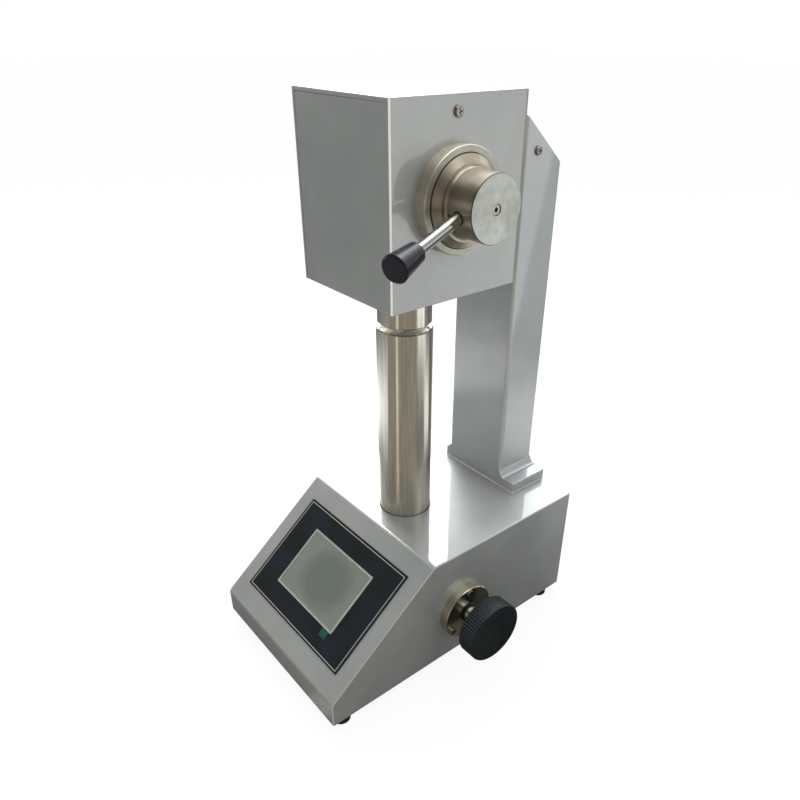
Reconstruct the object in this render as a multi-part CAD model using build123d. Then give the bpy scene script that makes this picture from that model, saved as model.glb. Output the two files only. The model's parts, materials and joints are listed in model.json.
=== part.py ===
from build123d import *
import math
import os

# Bench rubber hardness tester, millimetres, +Z up.
# The origin is the centre of the base's underside, and -Y is the front.
# +X is the side that carries the hand knob and the load lever.

# Base casing, bent from sheet
base_width = 220.0
base_height = 137.5
lip_height = 29.5
slope_run = 133.0
post_behind_crest = 49.5
base_sheet = 2.0
base_bend_radius = 7.0
base_seam_radius = 1.6
floor_sheet = 2.0
floor_fit = 0.4
floor_flange = 16.0

# Rubber feet
foot_radius = 10.0
foot_height = 11.0
foot_side_inset = 12.0
foot_front_inset = 17.0
foot_rear_inset = 24.0
foot_recess_radius = 4.5
foot_recess_depth = 3.0

# Control panel on the slope, measured from the bend at the front lip
overlay_width = 180.0
overlay_low = 24.2
overlay_high = 147.7
overlay_thickness = 0.8
screen_width = 109.0
screen_low = 49.4
screen_high = 123.3
screen_frame = 2.2
screen_proud = 1.6
screen_housing_depth = 28.0
screen_housing_inset = 3.0
glass_thickness = 0.9
glass_sunk = 0.4
panel_fit = 0.3
tab_width = 11.0
tab_length = 9.0
tab_thickness = 0.3

# Stage post and the rack that lifts it
post_radius = 28.75
post_bore_radius = 21.0
post_bottom = 48.0
stage_gap = 4.6
stage_plate_radius = 24.0
stage_plate_thickness = 6.0
post_top_chamfer = 1.2
post_hole_clearance = 0.7
lift_travel = 40.0
gear_module = 1.25
gear_teeth = 16
gear_width = 16.0
gear_backlash = 0.16
rack_addendum = 1.1
rack_width = 12.0
rack_overrun = 11.0
rack_seat = 0.1
rack_clearance = 3.0
rack_screw_radius = 2.5
rack_screw_inset = 9.0
rack_screw_head = 4.0
rack_screw_sunk = 4.5
rack_screw_grip = 7.0
stage_web = 18.0

# Guide bush of the post
running_fit = 0.05
bush_above_shaft = 17.0
bush_wall = 8.0
bush_flange_radius = 46.0
bush_flange_thickness = 8.0
bush_screw_radius = 2.5
bush_screw_count = 6

# Lift shaft, its bearings and the hand knob
lift_before_post = 7.5
lift_height = 59.0
lift_shaft_radius = 6.0
slot_clearance = 0.6
flange_radius = 32.2
flange_thickness = 10.0
flange_hub_radius = 19.0
flange_hub_length = 14.0
flange_edge = 0.8
flange_screw_circle = 27.6
flange_screw_radius = 2.5
flange_screw_head_radius = 3.9
flange_screw_head = 3.2
flange_screw_count = 3
bush_sleeve_wall = 3.0
dust_ring_radius = 11.0
dust_ring_thickness = 1.8
knob_hub_radius = 8.5
knob_gap = 21.5
knob_radius = 34.5
knob_thickness = 20.5
knob_edge = 1.6
knob_recess_radius = 24.0
knob_recess_depth = 5.0
knob_shaft_end = 4.0
bearing_block_width = 16.0
bearing_block_depth = 44.0
bearing_block_top = 18.0
bearing_block_from_side = 48.0

# Column, its foot plate and the arm to the head
column_width = 87.0
column_depth = 53.5
throat_depth = 109.0
column_back_below_head_top = 70.6
column_slope_degrees = 40.9
column_wall = 3.0
column_edge_radius = 3.5
column_foot_overhang = 23.0
column_foot_short_overhang = 6.0
column_foot_thickness = 12.5
column_foot_edge = 0.6
weld_radius = 8.5
weld_margin = 0.8
backing_thickness = 6.0
column_bolt_radius = 4.0
column_bolt_inset = 14.0
arm_width = 70.0
arm_low = 30.0
arm_high = 105.0
arm_wall = 5.0
arm_back_clearance = 17.0
arm_column_gap = 0.5
arm_lug_half = 6.0
arm_bolt_radius = 3.0
arm_bolt_x = 22.0
arm_bolt_inset = 16.0
arm_screw_below_slope = 16.5
arm_screw_behind_front = 17.6
arm_screw_radius = 2.5
arm_screw_head_radius = 4.3
arm_screw_head = 2.6

# Head
head_width = 136.4
head_before_post = 68.8
head_behind_post = 82.8
cam_above_head_bottom = 86.9
head_height = 166.7
head_sheet = 1.8
head_lip = 3.6
head_front_radius = 1.7
head_back_radius = 4.5
head_top_radius = 1.0
head_panel_gap = 0.35
head_panel_sunk = 0.3
head_screw_below_top = 13.0
head_screw_radius = 2.0
head_screw_head_radius = 4.6
head_screw_head = 2.4
head_floor_thickness = 2.0
head_back_lip = 7.2

# Frame inside the head
frame_back_thickness = 12.0
frame_side_gap = 6.4
frame_cheek_thickness = 10.0
frame_cheek_depth = 62.0
frame_shelf_thickness = 12.0
frame_top_margin = 8.0
frame_boss_radius = 5.0

# Presser collar under the head
collar_radius = 27.3
collar_drop = 40.4
collar_bore_radius = 10.0
collar_edge = 1.0
presser_radius = 14.0
presser_thickness = 6.0
presser_hole_radius = 3.2
presser_fit = 0.02

# Load drum, lever and cam; distances along X run from the middle of the head
cam_height = 485.9
ring_radius = 44.1
ring_thickness = 12.5
ring_bore_radius = 38.6
ring_floor = 4.0
ring_hub_radius = 34.0
ring_hub_hole_fit = 0.5
ring_edge = 0.8
ring_screw_circle = 27.0
ring_screw_radius = 2.5
ring_screw_pocket = 3.2
ring_screw_count = 4
drum_disc_radius = 37.8
drum_step_radius = 31.5
drum_radius = 27.8
drum_step_reach = 5.2
drum_reach = 36.4
drum_cove = 2.5
drum_floor_gap = 0.5
drum_edge = 0.5
drum_web = 14.0
drum_screw_head_radius = 4.2
drum_screw_head = 5.0
drum_screw_pocket_radius = 4.8
drum_screw_sunk = 0.6
drum_screw_radius = 2.5
drum_screw_grip = 8.0
set_screw_radius = 2.0
set_screw_reach = 22.7
cam_shaft_radius = 7.0
cam_width = 9.0
cam_rest_radius = 14.0
cam_gap = 0.4
cam_overrun_degrees = 20.0
follower_radius = 4.0
lever_degrees = 192.1
lever_tilt_degrees = 17.0
lever_axis_reach = 24.8
lever_rod_radius = 5.0
lever_root = 19.0
grip_start = 89.9
grip_length = 31.0
grip_small_radius = 8.5
grip_large_radius = 11.5
grip_edge = 1.6
grip_overlap = 14.0
lever_travel_degrees = 60.0
indenter_stroke = 4.0

# Indenter, yoke, weight and sensor
tip_recess = 1.0
tip_radius = 2.6
tip_ball_radius = 1.25
tip_length = 16.0
spindle_radius = 5.0
spindle_bush_wall = 3.0
weight_radius = 32.0
weight_bottom_gap = 7.0
weight_thickness = 22.0
yoke_width = 48.0
yoke_bar = 7.0
yoke_thickness = 10.0
yoke_window_low = 22.0
yoke_bottom_bar = 8.0
core_radius = 1.5
core_length = 24.0
sensor_radius = 8.0
sensor_bore_radius = 2.2
sensor_length = 24.0
sensor_gap = 5.0
sensor_bracket_thickness = 6.0

# Rear panel, inlet and switch
rear_panel_width = 196.0
rear_panel_height = 116.0
rear_panel_thickness = 1.5
rear_panel_lap = 10.0
rear_screw_inset = 4.5
inlet_width = 48.0
inlet_height = 27.5
inlet_depth = 26.0
inlet_x = 55.0
rear_row_height = 40.0
inlet_flange = 6.0
inlet_flange_thickness = 2.5
inlet_socket_width = 24.5
inlet_socket_height = 16.5
inlet_socket_depth = 16.0
inlet_pin_sunk = 4.6
inlet_corner = 5.0
inlet_pins = ((-7.0, -2.0), (7.0, -2.0), (0.0, 2.5))
switch_x = 2.0
switch_width = 19.2
switch_height = 12.9
switch_flange = 1.6
switch_flange_thickness = 1.6
switch_depth = 14.0
switch_well = 9.0
switch_wall = 1.2
rocker_fit = 0.4
rocker_pin_radius = 1.0
rocker_degrees = 9.0
vent_count = 9
vent_pitch = 9.0
vent_width = 3.0
vent_height = 30.0
vent_row_height = 92.0
small_screw_radius = 1.5
small_screw_head_radius = 3.0
small_screw_head = 1.8

# Electronics
board_width = 76.0
board_depth = 92.0
board_thickness = 1.6
board_standoff_height = 10.0
board_standoff_radius = 3.0
board_x = -52.0
board_behind_post = 75.0
board_chips = (
    (-16.0, 20.0, 18.0, 18.0, 3.0),
    (14.0, 24.0, 12.0, 24.0, 8.0),
    (-18.0, -22.0, 24.0, 12.0, 10.0),
    (16.0, -20.0, 10.0, 10.0, 5.0),
)
supply_width = 66.0
supply_depth = 92.0
supply_height = 36.0
supply_x = 52.0
supply_gap = 8.5

# Places worked out from the sizes above
base_depth = slope_run + post_behind_crest + throat_depth + column_depth
front_y = -base_depth / 2
back_y = base_depth / 2
side_x = base_width / 2
post_y = front_y + slope_run + post_behind_crest
lift_y = post_y - lift_before_post
slope_degrees = math.degrees(math.atan2(base_height - lip_height, slope_run))
head_y0 = post_y - head_before_post
head_y1 = post_y + head_behind_post
head_bottom = cam_height - cam_above_head_bottom
head_top = head_bottom + head_height
head_x = head_width / 2
collar_bottom = head_bottom - collar_drop
stage_top = collar_bottom - stage_gap
pinion_radius = gear_module * gear_teeth / 2
rack_line_y = lift_y + pinion_radius
gear_pitch = math.pi * gear_module
column_front_y = back_y - column_depth
column_base = base_height + column_foot_thickness
column_back_height = head_top - column_back_below_head_top
column_front_height = column_back_height + column_depth * math.tan(math.radians(column_slope_degrees))
lift_turn_degrees = math.degrees(lift_travel / pinion_radius)
bush_bottom = lift_height + bush_above_shaft
floor_top = floor_sheet
frame_outer = head_x - head_sheet - frame_side_gap
frame_cheek_x = frame_outer - frame_cheek_thickness
frame_bottom = head_bottom + head_floor_thickness
frame_back_y = head_y1 - head_sheet
frame_top = head_top - head_sheet - frame_top_margin
shelf_top = frame_bottom + frame_shelf_thickness
ring_face = head_x + ring_thickness
drum_step_x = ring_face + drum_step_reach + 1.0
drum_face = ring_face + drum_reach
lever_axis_x = head_x + lever_axis_reach
drum_back_x = head_x + ring_floor + drum_floor_gap
cam_rate = indenter_stroke / math.radians(lever_travel_degrees)
follower_z = cam_height + cam_rest_radius + cam_gap + follower_radius
foot_places = [(sx * (side_x - foot_side_inset), y) for sx in (-1, 1)
               for y in (front_y + foot_front_inset, back_y - foot_rear_inset)]

nodes = {}


def keep(name, *pieces):
    solids = []
    for piece in pieces:
        solids += list(piece.solids())
    nodes[name] = solids[0] if len(solids) == 1 else Compound(children=solids)


def block(x0, x1, y0, y1, z0, z1):
    corner = (Align.MIN, Align.MIN, Align.MIN)
    return Pos(x0, y0, z0) * Box(x1 - x0, y1 - y0, z1 - z0, align=corner)


def rod_z(radius, z0, z1, x=0.0, y=0.0):
    return Pos(x, y, (z0 + z1) / 2) * Cylinder(radius, z1 - z0)


def rod_x(radius, x0, x1, y, z):
    return Pos((x0 + x1) / 2, y, z) * Rot(0, 90, 0) * Cylinder(radius, x1 - x0)


def rod_y(radius, y0, y1, x, z):
    return Pos(x, (y0 + y1) / 2, z) * Rot(90, 0, 0) * Cylinder(radius, y1 - y0)


def turned_x(points, y, z):
    """Solid of revolution about a line along X; points are (x, radius)."""
    outline = [(points[0][0], 0.0)] + points + [(points[-1][0], 0.0)]
    face = make_face(Polyline(*outline, close=True))
    return Pos(0, y, z) * revolve(face, Axis.X, 360)


def turned_z(points, x, y):
    """Solid of revolution about a line along Z; points are (radius, z)."""
    outline = [(0.0, points[0][1])] + points + [(0.0, points[-1][1])]
    face = Plane.XZ * make_face(Polyline(*outline, close=True))
    return Pos(x, y, 0) * revolve(face, Axis.Z, 360)


def side_prism(points, x0, x1):
    """Outline in (y, z) carried along X."""
    face = Plane.YZ * make_face(Polyline(*points, close=True))
    return Pos(x0, 0, 0) * extrude(face, x1 - x0)


def ring_places(count, radius, start=90.0):
    angles = [math.radians(start + 360.0 * k / count) for k in range(count)]
    return [(radius * math.cos(a), radius * math.sin(a)) for a in angles]


def socket_screw(shank, head, head_height, length, hex_width):
    """Socket head screw along +Z: head above zero, shank below."""
    key = Pos(0, 0, head_height) * extrude(RegularPolygon(hex_width / 2, 6), -head_height * 0.6)
    return Cylinder(head, head_height, align=(Align.CENTER, Align.CENTER, Align.MIN)) - key + \
        Cylinder(shank, length, align=(Align.CENTER, Align.CENTER, Align.MAX))


def pan_screw(shank, head, head_height, length):
    """Pan head screw with a cross recess along +Z."""
    dome = Cylinder(head, head_height, align=(Align.CENTER, Align.CENTER, Align.MIN))
    dome = fillet(dome.edges().group_by(Axis.Z)[-1], head_height * 0.6)
    arm = head * 1.1
    depth = head_height * 0.55
    cross = Box(arm, arm * 0.22, depth, align=(Align.CENTER, Align.CENTER, Align.MAX))
    cross += Box(arm * 0.22, arm, depth, align=(Align.CENTER, Align.CENTER, Align.MAX))
    return dome - Pos(0, 0, head_height) * cross + \
        Cylinder(shank, length, align=(Align.CENTER, Align.CENTER, Align.MAX))


def on_slope(u, x=0.0, out=0.0):
    """Place on the slope: u along it from the lip bend, out square to it."""
    a = math.radians(slope_degrees)
    y = front_y + u * math.cos(a) - out * math.sin(a)
    z = lip_height + u * math.sin(a) + out * math.cos(a)
    return Pos(x, y, z) * Rot(slope_degrees, 0, 0)


def slope_block(width, u0, u1, out0, out1):
    box = Box(width, u1 - u0, out1 - out0, align=(Align.CENTER, Align.MIN, Align.MIN))
    return on_slope(u0, 0.0, out0) * box


def make_base():
    outline = [(front_y, 0), (front_y, lip_height), (front_y + slope_run, base_height),
               (back_y, base_height), (back_y, 0)]
    face = make_face(Polyline(*outline, close=True))
    corners = face.vertices()
    lip = [v for v in corners if abs(v.X - front_y) < 0.1 and abs(v.Y - lip_height) < 0.1]
    crest = [v for v in corners if abs(v.X - front_y - slope_run) < 0.1]
    face = fillet(lip + crest, base_bend_radius)
    inner = offset(face, -base_sheet, kind=Kind.INTERSECTION)
    outer = Pos(-side_x, 0, 0) * extrude(Plane.YZ * face, base_width)
    seams = [e for e in outer.edges() if abs(abs(e.center().X) - side_x) < 0.01 and e.center().Z > 0.1]
    outer = fillet(seams, base_seam_radius)
    hollow = Pos(-side_x + base_sheet, 0, 0) * extrude(Plane.YZ * inner, base_width - 2 * base_sheet)
    hollow += block(-side_x + base_sheet, side_x - base_sheet, front_y + base_sheet,
                    back_y - base_sheet, -1.0, base_sheet + 1.0)
    casing = outer - hollow
    flange_x = side_x - base_sheet
    for side in (-1, 1):
        x0, x1 = sorted((side * (flange_x - floor_flange), side * flange_x))
        casing += block(x0, x1, front_y + base_sheet, back_y - base_sheet,
                        floor_sheet, floor_sheet + base_sheet)
    for x, y in foot_places:
        casing -= rod_z(small_screw_radius, -1, floor_sheet + base_sheet + 1, x, y)
    window_width = screen_width - 2 * screen_housing_inset + 2 * panel_fit
    window_low = screen_low + screen_housing_inset - panel_fit
    window_high = screen_high - screen_housing_inset + panel_fit
    casing -= slope_block(window_width, window_low, window_high, -base_sheet * 3, base_sheet)
    casing -= rod_z(post_radius + post_hole_clearance, base_height - base_sheet * 2, base_height + 1,
                    0, post_y)
    casing -= rod_x(flange_hub_radius + panel_fit, side_x - base_sheet * 2, side_x + 1, lift_y, lift_height)
    for x, z in rear_holes():
        casing -= rod_y(small_screw_radius, back_y - base_sheet * 2, back_y + 1, x, z)
    half_w = rear_panel_width / 2 - rear_panel_lap
    half_h = rear_panel_height / 2 - rear_panel_lap
    casing -= block(-half_w, half_w, back_y - base_sheet * 2, back_y + 1,
                    base_height / 2 - half_h, base_height / 2 + half_h)
    for x, y in flange_screw_places():
        casing -= rod_x(flange_screw_radius, side_x - base_sheet * 2, side_x + 1, lift_y + x, lift_height + y)
    for x, y in column_bolt_places():
        casing -= rod_z(column_bolt_radius, base_height - base_sheet * 2, base_height + 1, x, y)
    keep("base_casing", casing)

    edge = base_sheet + floor_fit
    plate = block(-side_x + edge, side_x - edge, front_y + edge, back_y - edge, 0, floor_sheet)
    for x, y in foot_places:
        plate -= rod_z(small_screw_radius, -1, floor_sheet + 1, x, y)
    keep("bottom_plate", plate)

    feet = []
    screws = []
    for x, y in foot_places:
        foot = turned_z([(foot_radius - 1.0, -foot_height), (foot_radius, -foot_height + 1.0),
                         (foot_radius, -1.0), (foot_radius - 0.8, 0.0)], x, y)
        foot -= rod_z(foot_recess_radius, -foot_height - 1, -foot_height + foot_recess_depth, x, y)
        foot -= rod_z(small_screw_radius, -foot_height, 1, x, y)
        feet.append(foot)
        screw = pan_screw(small_screw_radius, small_screw_head_radius, small_screw_head,
                          foot_height - foot_recess_depth + floor_sheet + base_sheet + 2)
        screws.append(Pos(x, y, -foot_height + foot_recess_depth) * Rot(180, 0, 0) * screw)
    keep("rubber_feet", *feet)
    return screws


def rear_holes():
    dx = rear_panel_width / 2 - rear_screw_inset
    dz = rear_panel_height / 2 - rear_screw_inset
    return [(sx * dx, base_height / 2 + sz * dz) for sx in (-1, 1) for sz in (-1, 1)]


def flange_screw_places():
    return ring_places(flange_screw_count, flange_screw_circle)


def column_bolt_places():
    dx = column_width / 2 - column_bolt_inset
    dy = column_depth / 2 - column_bolt_inset
    mid = (column_front_y + back_y) / 2
    return [(sx * dx, mid + sy * dy) for sx in (-1, 1) for sy in (-1, 1)]


def make_control_panel():
    overlay = slope_block(overlay_width, overlay_low, overlay_high, 0, overlay_thickness)
    window = slope_block(screen_width + 2 * panel_fit, screen_low - panel_fit, screen_high + panel_fit,
                         -1, overlay_thickness + 1)
    keep("control_overlay", overlay - window)

    inset = screen_housing_inset
    frame = slope_block(screen_width, screen_low, screen_high, 0, screen_proud)
    housing = slope_block(screen_width - 2 * inset, screen_low + inset, screen_high - inset,
                          -screen_housing_depth, 0)
    glass_seat = slope_block(screen_width - 2 * screen_frame, screen_low + screen_frame,
                             screen_high - screen_frame, screen_proud - glass_sunk - glass_thickness,
                             screen_proud + 1)
    keep("touch_screen_housing", frame + housing - glass_seat)
    glass = slope_block(screen_width - 2 * screen_frame - 0.1, screen_low + screen_frame + 0.05,
                        screen_high - screen_frame - 0.05, screen_proud - glass_sunk - glass_thickness,
                        screen_proud - glass_sunk)
    keep("screen_glass", glass)

    tab_mid = screen_width / 2 - screen_frame - tab_width / 2 - 1.0
    tab = Box(tab_width, tab_length, tab_thickness, align=(Align.CENTER, Align.MAX, Align.MIN))
    keep("film_pull_tab", on_slope(screen_low - panel_fit, tab_mid, overlay_thickness) * tab)


def make_post():
    post = rod_z(post_radius, post_bottom, stage_top, 0, post_y)
    post = chamfer(post.edges().group_by(Axis.Z)[-1], post_top_chamfer)
    post -= rod_z(post_bore_radius, post_bottom - 1, stage_top - stage_web, 0, post_y)
    post -= rod_z(stage_plate_radius, stage_top - stage_plate_thickness, stage_top + 1, 0, post_y)
    slot_half = lift_shaft_radius + slot_clearance
    slot_top = lift_height + lift_travel
    reach = post_radius + 1
    post -= block(-reach, reach, lift_y - slot_half, lift_y + slot_half, post_bottom - 1, slot_top)
    post -= rod_x(slot_half, -reach, reach, lift_y, slot_top)
    rack_back = rack_back_y()
    for z in rack_screw_heights():
        post -= rod_y(rack_screw_radius, rack_back - 1, post_y + post_radius + 1, 0, z)
        post -= rod_y(rack_screw_radius * 1.8, post_y + post_radius - rack_screw_sunk,
                      post_y + post_radius + 1, 0, z)
    keep("stage_post", post)
    keep("stage_plate", rod_z(stage_plate_radius, stage_top - stage_plate_thickness, stage_top, 0, post_y))


def rack_back_y():
    half = rack_width / 2
    return post_y + math.sqrt(post_bore_radius ** 2 - half ** 2) - rack_seat


def rack_top():
    return lift_height + lift_travel + rack_overrun + rack_clearance


def rack_screw_heights():
    return [post_bottom + rack_screw_inset, rack_top() - rack_screw_inset]


def make_rack():
    tip_y = rack_line_y - rack_addendum
    root_y = rack_line_y + 1.25 * gear_module
    bottom = post_bottom - 1.0
    top = rack_top()
    body = block(-rack_width / 2, rack_width / 2, root_y, rack_back_y(), bottom, top)
    slope = math.tan(math.radians(20.0))
    half = gear_pitch / 4 - gear_backlash / 2
    first = math.ceil((bottom - lift_height) / gear_pitch + 0.5)
    last = math.floor((top - lift_height) / gear_pitch - 0.5)
    for k in range(first, last + 1):
        z = lift_height + k * gear_pitch
        wide = half + (root_y - rack_line_y) * slope
        narrow = half - (rack_line_y - tip_y) * slope
        tooth = [(root_y + 0.2, z - wide), (root_y, z - wide), (tip_y, z - narrow),
                 (tip_y, z + narrow), (root_y, z + wide), (root_y + 0.2, z + wide)]
        body += side_prism(tooth, -rack_width / 2, rack_width / 2)
    screws = []
    for z in rack_screw_heights():
        body -= rod_y(rack_screw_radius, rack_back_y() - rack_screw_grip - 1, rack_back_y() + 1, 0, z)
        screw = socket_screw(rack_screw_radius, rack_screw_radius * 1.7, rack_screw_head,
                             post_y + post_radius - rack_screw_sunk - rack_back_y() + rack_screw_grip,
                             rack_screw_radius * 1.6)
        screws.append(Pos(0, post_y + post_radius - rack_screw_sunk, z) * Rot(-90, 0, 0) * screw)
    keep("lift_rack", body)
    keep("rack_screws", *screws)


def involute_gear(teeth, module, width, backlash):
    """Spur gear about Z with a tooth gap centred on +X."""
    pitch_r = module * teeth / 2
    base_r = pitch_r * math.cos(math.radians(20.0))
    tip_r = pitch_r + 0.95 * module
    root_r = pitch_r - 1.25 * module

    def involute(radius):
        ratio = max(radius / base_r, 1.0)
        angle = math.sqrt(ratio ** 2 - 1)
        return angle - math.atan(angle)

    half_tooth = math.pi / (2 * teeth) - backlash / (2 * pitch_r)
    flank = []
    for step in range(6):
        radius = base_r + (tip_r - base_r) * step / 5
        flank.append((radius, half_tooth + involute(pitch_r) - involute(radius)))
    points = []
    for k in range(teeth):
        middle = 2 * math.pi * (k + 0.5) / teeth
        lower = [(root_r, middle - flank[0][1])] + [(r, middle - a) for r, a in flank]
        upper = [(r, middle + a) for r, a in reversed(flank)] + [(root_r, middle + flank[0][1])]
        points += [(r * math.cos(a), r * math.sin(a)) for r, a in lower + upper]
    return extrude(make_face(Polyline(*points, close=True)), width)


def make_lift_drive():
    knob_back = side_x + flange_thickness + knob_gap
    knob_front = knob_back + knob_thickness
    block_x = -side_x + bearing_block_from_side
    shaft_start = block_x - bearing_block_width / 2 - 2.0
    shaft_end = knob_front - knob_shaft_end
    shaft = rod_x(lift_shaft_radius, shaft_start, shaft_end, lift_y, lift_height)
    keep("lift_shaft", shaft)

    gear = involute_gear(gear_teeth, gear_module, gear_width, gear_backlash)
    gear = Pos(-gear_width / 2, lift_y, lift_height) * Rot(0, 90, 0) * Rot(0, 0, 90) * gear
    gear -= rod_x(lift_shaft_radius, -gear_width, gear_width, lift_y, lift_height)
    keep("lift_pinion", gear)

    face = side_x + flange_thickness
    flange = turned_x([(side_x - flange_hub_length, flange_hub_radius), (side_x, flange_hub_radius),
                       (side_x, flange_radius), (face - flange_edge, flange_radius),
                       (face, flange_radius - flange_edge)], lift_y, lift_height)
    sleeve_radius = lift_shaft_radius + bush_sleeve_wall
    flange -= rod_x(sleeve_radius, side_x - flange_hub_length - 1, face + 1, lift_y, lift_height)
    screws = []
    for y, z in flange_screw_places():
        flange -= rod_x(flange_screw_radius, side_x - 1, face + 1, lift_y + y, lift_height + z)
        screw = socket_screw(flange_screw_radius, flange_screw_head_radius, flange_screw_head,
                             flange_thickness + base_sheet + 4, flange_screw_head_radius)
        screws.append(Pos(face, lift_y + y, lift_height + z) * Rot(0, 90, 0) * screw)
    keep("shaft_flange", flange)
    keep("flange_screws", *screws)

    bush = rod_x(sleeve_radius, side_x - flange_hub_length, face, lift_y, lift_height)
    bush -= rod_x(lift_shaft_radius + running_fit, side_x - flange_hub_length - 1, face + 1,
                  lift_y, lift_height)
    dust_x0 = face + panel_fit
    dust_x1 = dust_x0 + dust_ring_thickness
    dust = turned_x([(dust_x0, dust_ring_radius), (dust_x1 - 1.0, dust_ring_radius),
                     (dust_x1, dust_ring_radius - 1.0)], lift_y, lift_height)
    keep("dust_ring", dust - rod_x(lift_shaft_radius, dust_x0 - 1, dust_x1 + 1, lift_y, lift_height))

    hub = rod_x(knob_hub_radius, dust_x1, knob_back, lift_y, lift_height)
    hub -= rod_x(lift_shaft_radius, dust_x1 - 1, knob_back + 1, lift_y, lift_height)
    hub_mid = (dust_x1 + knob_back) / 2
    hub -= rod_z(set_screw_radius, lift_height, lift_height + knob_hub_radius + 1, hub_mid, lift_y)
    grub = rod_z(set_screw_radius, lift_height + lift_shaft_radius, lift_height + knob_hub_radius - 0.3,
                 hub_mid, lift_y)
    keep("knob_hub", hub, grub)

    rim = knob_radius - knob_edge
    knob = turned_x([(knob_back, rim), (knob_back + knob_edge, knob_radius),
                     (knob_front - knob_edge, knob_radius), (knob_front, rim)], lift_y, lift_height)
    knob -= rod_x(lift_shaft_radius, knob_back - 1, shaft_end, lift_y, lift_height)
    recess = rod_x(knob_recess_radius, knob_back - 1, knob_back + knob_recess_depth, lift_y, lift_height)
    knob -= recess - rod_x(knob_hub_radius + 4, knob_back - 2, knob_back + knob_recess_depth + 1,
                           lift_y, lift_height)
    keep("hand_knob", knob)

    half = bearing_block_width / 2
    body = block(block_x - half, block_x + half, lift_y - bearing_block_depth / 2,
                 lift_y + bearing_block_depth / 2, floor_top, lift_height + bearing_block_top)
    body -= rod_x(sleeve_radius, block_x - half - 1, block_x + half + 1, lift_y, lift_height)
    keep("bearing_block", body)
    inner = rod_x(sleeve_radius, block_x - half, block_x + half, lift_y, lift_height)
    inner -= rod_x(lift_shaft_radius + running_fit, block_x - half - 1, block_x + half + 1,
                   lift_y, lift_height)
    keep("shaft_bushes", bush, inner)


def make_guide_bush():
    top = base_height - base_sheet
    outer = post_radius + bush_wall
    bush = rod_z(outer, bush_bottom, top, 0, post_y)
    bush += rod_z(bush_flange_radius, top - bush_flange_thickness, top, 0, post_y)
    bush -= rod_z(post_radius + running_fit, bush_bottom - 1, top + 1, 0, post_y)
    screws = []
    circle = (outer + bush_flange_radius) / 2
    for x, y in ring_places(bush_screw_count, circle):
        bush -= rod_z(bush_screw_radius, top - bush_flange_thickness - 1, top + 1, x, post_y + y)
        screw = socket_screw(bush_screw_radius, bush_screw_radius * 1.7, bush_screw_radius * 2,
                             bush_flange_thickness, bush_screw_radius * 1.6)
        screws.append(Pos(x, post_y + y, top - bush_flange_thickness) * Rot(180, 0, 0) * screw)
    keep("post_guide_bush", bush)
    return screws


def make_column():
    half = column_width / 2
    foot_x0 = -half - column_foot_short_overhang
    foot_x1 = half + column_foot_overhang
    foot = block(foot_x0, foot_x1, column_front_y, back_y, base_height, column_base)
    foot = fillet(foot.edges().filter_by(Axis.Z) + foot.edges().group_by(Axis.Z)[-1], column_foot_edge)
    bolts = []
    depth = column_foot_thickness - 2.0
    for x, y in column_bolt_places():
        foot -= rod_z(column_bolt_radius, base_height - 1, base_height + depth, x, y)
        bolt = socket_screw(column_bolt_radius, column_bolt_radius * 1.6, column_bolt_radius * 2,
                            backing_thickness + base_sheet + depth, column_bolt_radius * 1.6)
        bolts.append(Pos(x, y, base_height - base_sheet - backing_thickness) * Rot(180, 0, 0) * bolt)
    keep("column_foot", foot)
    backing_y1 = back_y - base_sheet - 1.0
    backing = block(foot_x0, foot_x1, column_front_y, backing_y1,
                    base_height - base_sheet - backing_thickness, base_height - base_sheet)
    for x, y in column_bolt_places():
        backing -= rod_z(column_bolt_radius, 0, base_height, x, y)
    keep("column_backing_plate", backing)

    outline = [(column_front_y, column_base), (back_y, column_base), (back_y, column_back_height),
               (column_front_y, column_front_height)]
    column = side_prism(outline, -half, half)
    upright = column.edges().filter_by(Axis.Z)
    column = fillet(upright, column_edge_radius)
    column_envelope = column
    wall = column_wall
    top_drop = wall / math.cos(math.radians(column_slope_degrees))
    front_in = column_front_height - top_drop - wall * math.tan(math.radians(column_slope_degrees))
    back_in = column_back_height - top_drop + wall * math.tan(math.radians(column_slope_degrees))
    inside = [(column_front_y + wall, column_base - 1), (back_y - wall, column_base - 1),
              (back_y - wall, back_in), (column_front_y + wall, front_in)]
    column -= side_prism(inside, -half + wall, half - wall)
    arm_z0, arm_z1 = arm_heights()
    gap = arm_column_gap
    column -= block(-arm_width / 2 - gap, arm_width / 2 + gap, column_front_y - 1, column_front_y + wall + 1,
                    arm_z0 - gap, arm_z1 + gap)
    y, z = arm_screw_place()
    for side in (-1, 1):
        column -= rod_x(arm_screw_radius, side * half - 5, side * half + 5, y, z)
    keep("column_shell", column)

    welds = []
    for side, overhang in ((-1, column_foot_short_overhang), (1, column_foot_overhang)):
        leg = min(weld_radius, overhang - weld_margin)
        root = side * (half - column_edge_radius)
        near, far = side * half, side * (half + leg)
        middle = leg * (1 - math.sqrt(0.5))
        top = column_base + leg
        hollow = ThreePointArc((far, column_base), (near + side * middle, column_base + middle), (near, top))
        rest = Polyline((near, top), (root, top), (root, column_base), (far, column_base))
        profile = Plane.XZ * make_face([hollow, rest])
        weld = Pos(0, back_y, 0) * extrude(profile, column_depth)
        welds.append(weld - column_envelope)
    keep("column_welds", *welds)
    return bolts


def arm_heights():
    return head_bottom + arm_low, head_bottom + arm_high


def arm_bolt_places():
    z0, z1 = arm_heights()
    return [(sx * arm_bolt_x, z) for sx in (-1, 1) for z in (z0 + arm_bolt_inset, z1 - arm_bolt_inset)]


def arm_screw_place():
    y = column_front_y + arm_screw_behind_front
    drop = arm_screw_behind_front * math.tan(math.radians(column_slope_degrees))
    return y, column_front_height - drop - arm_screw_below_slope


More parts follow.
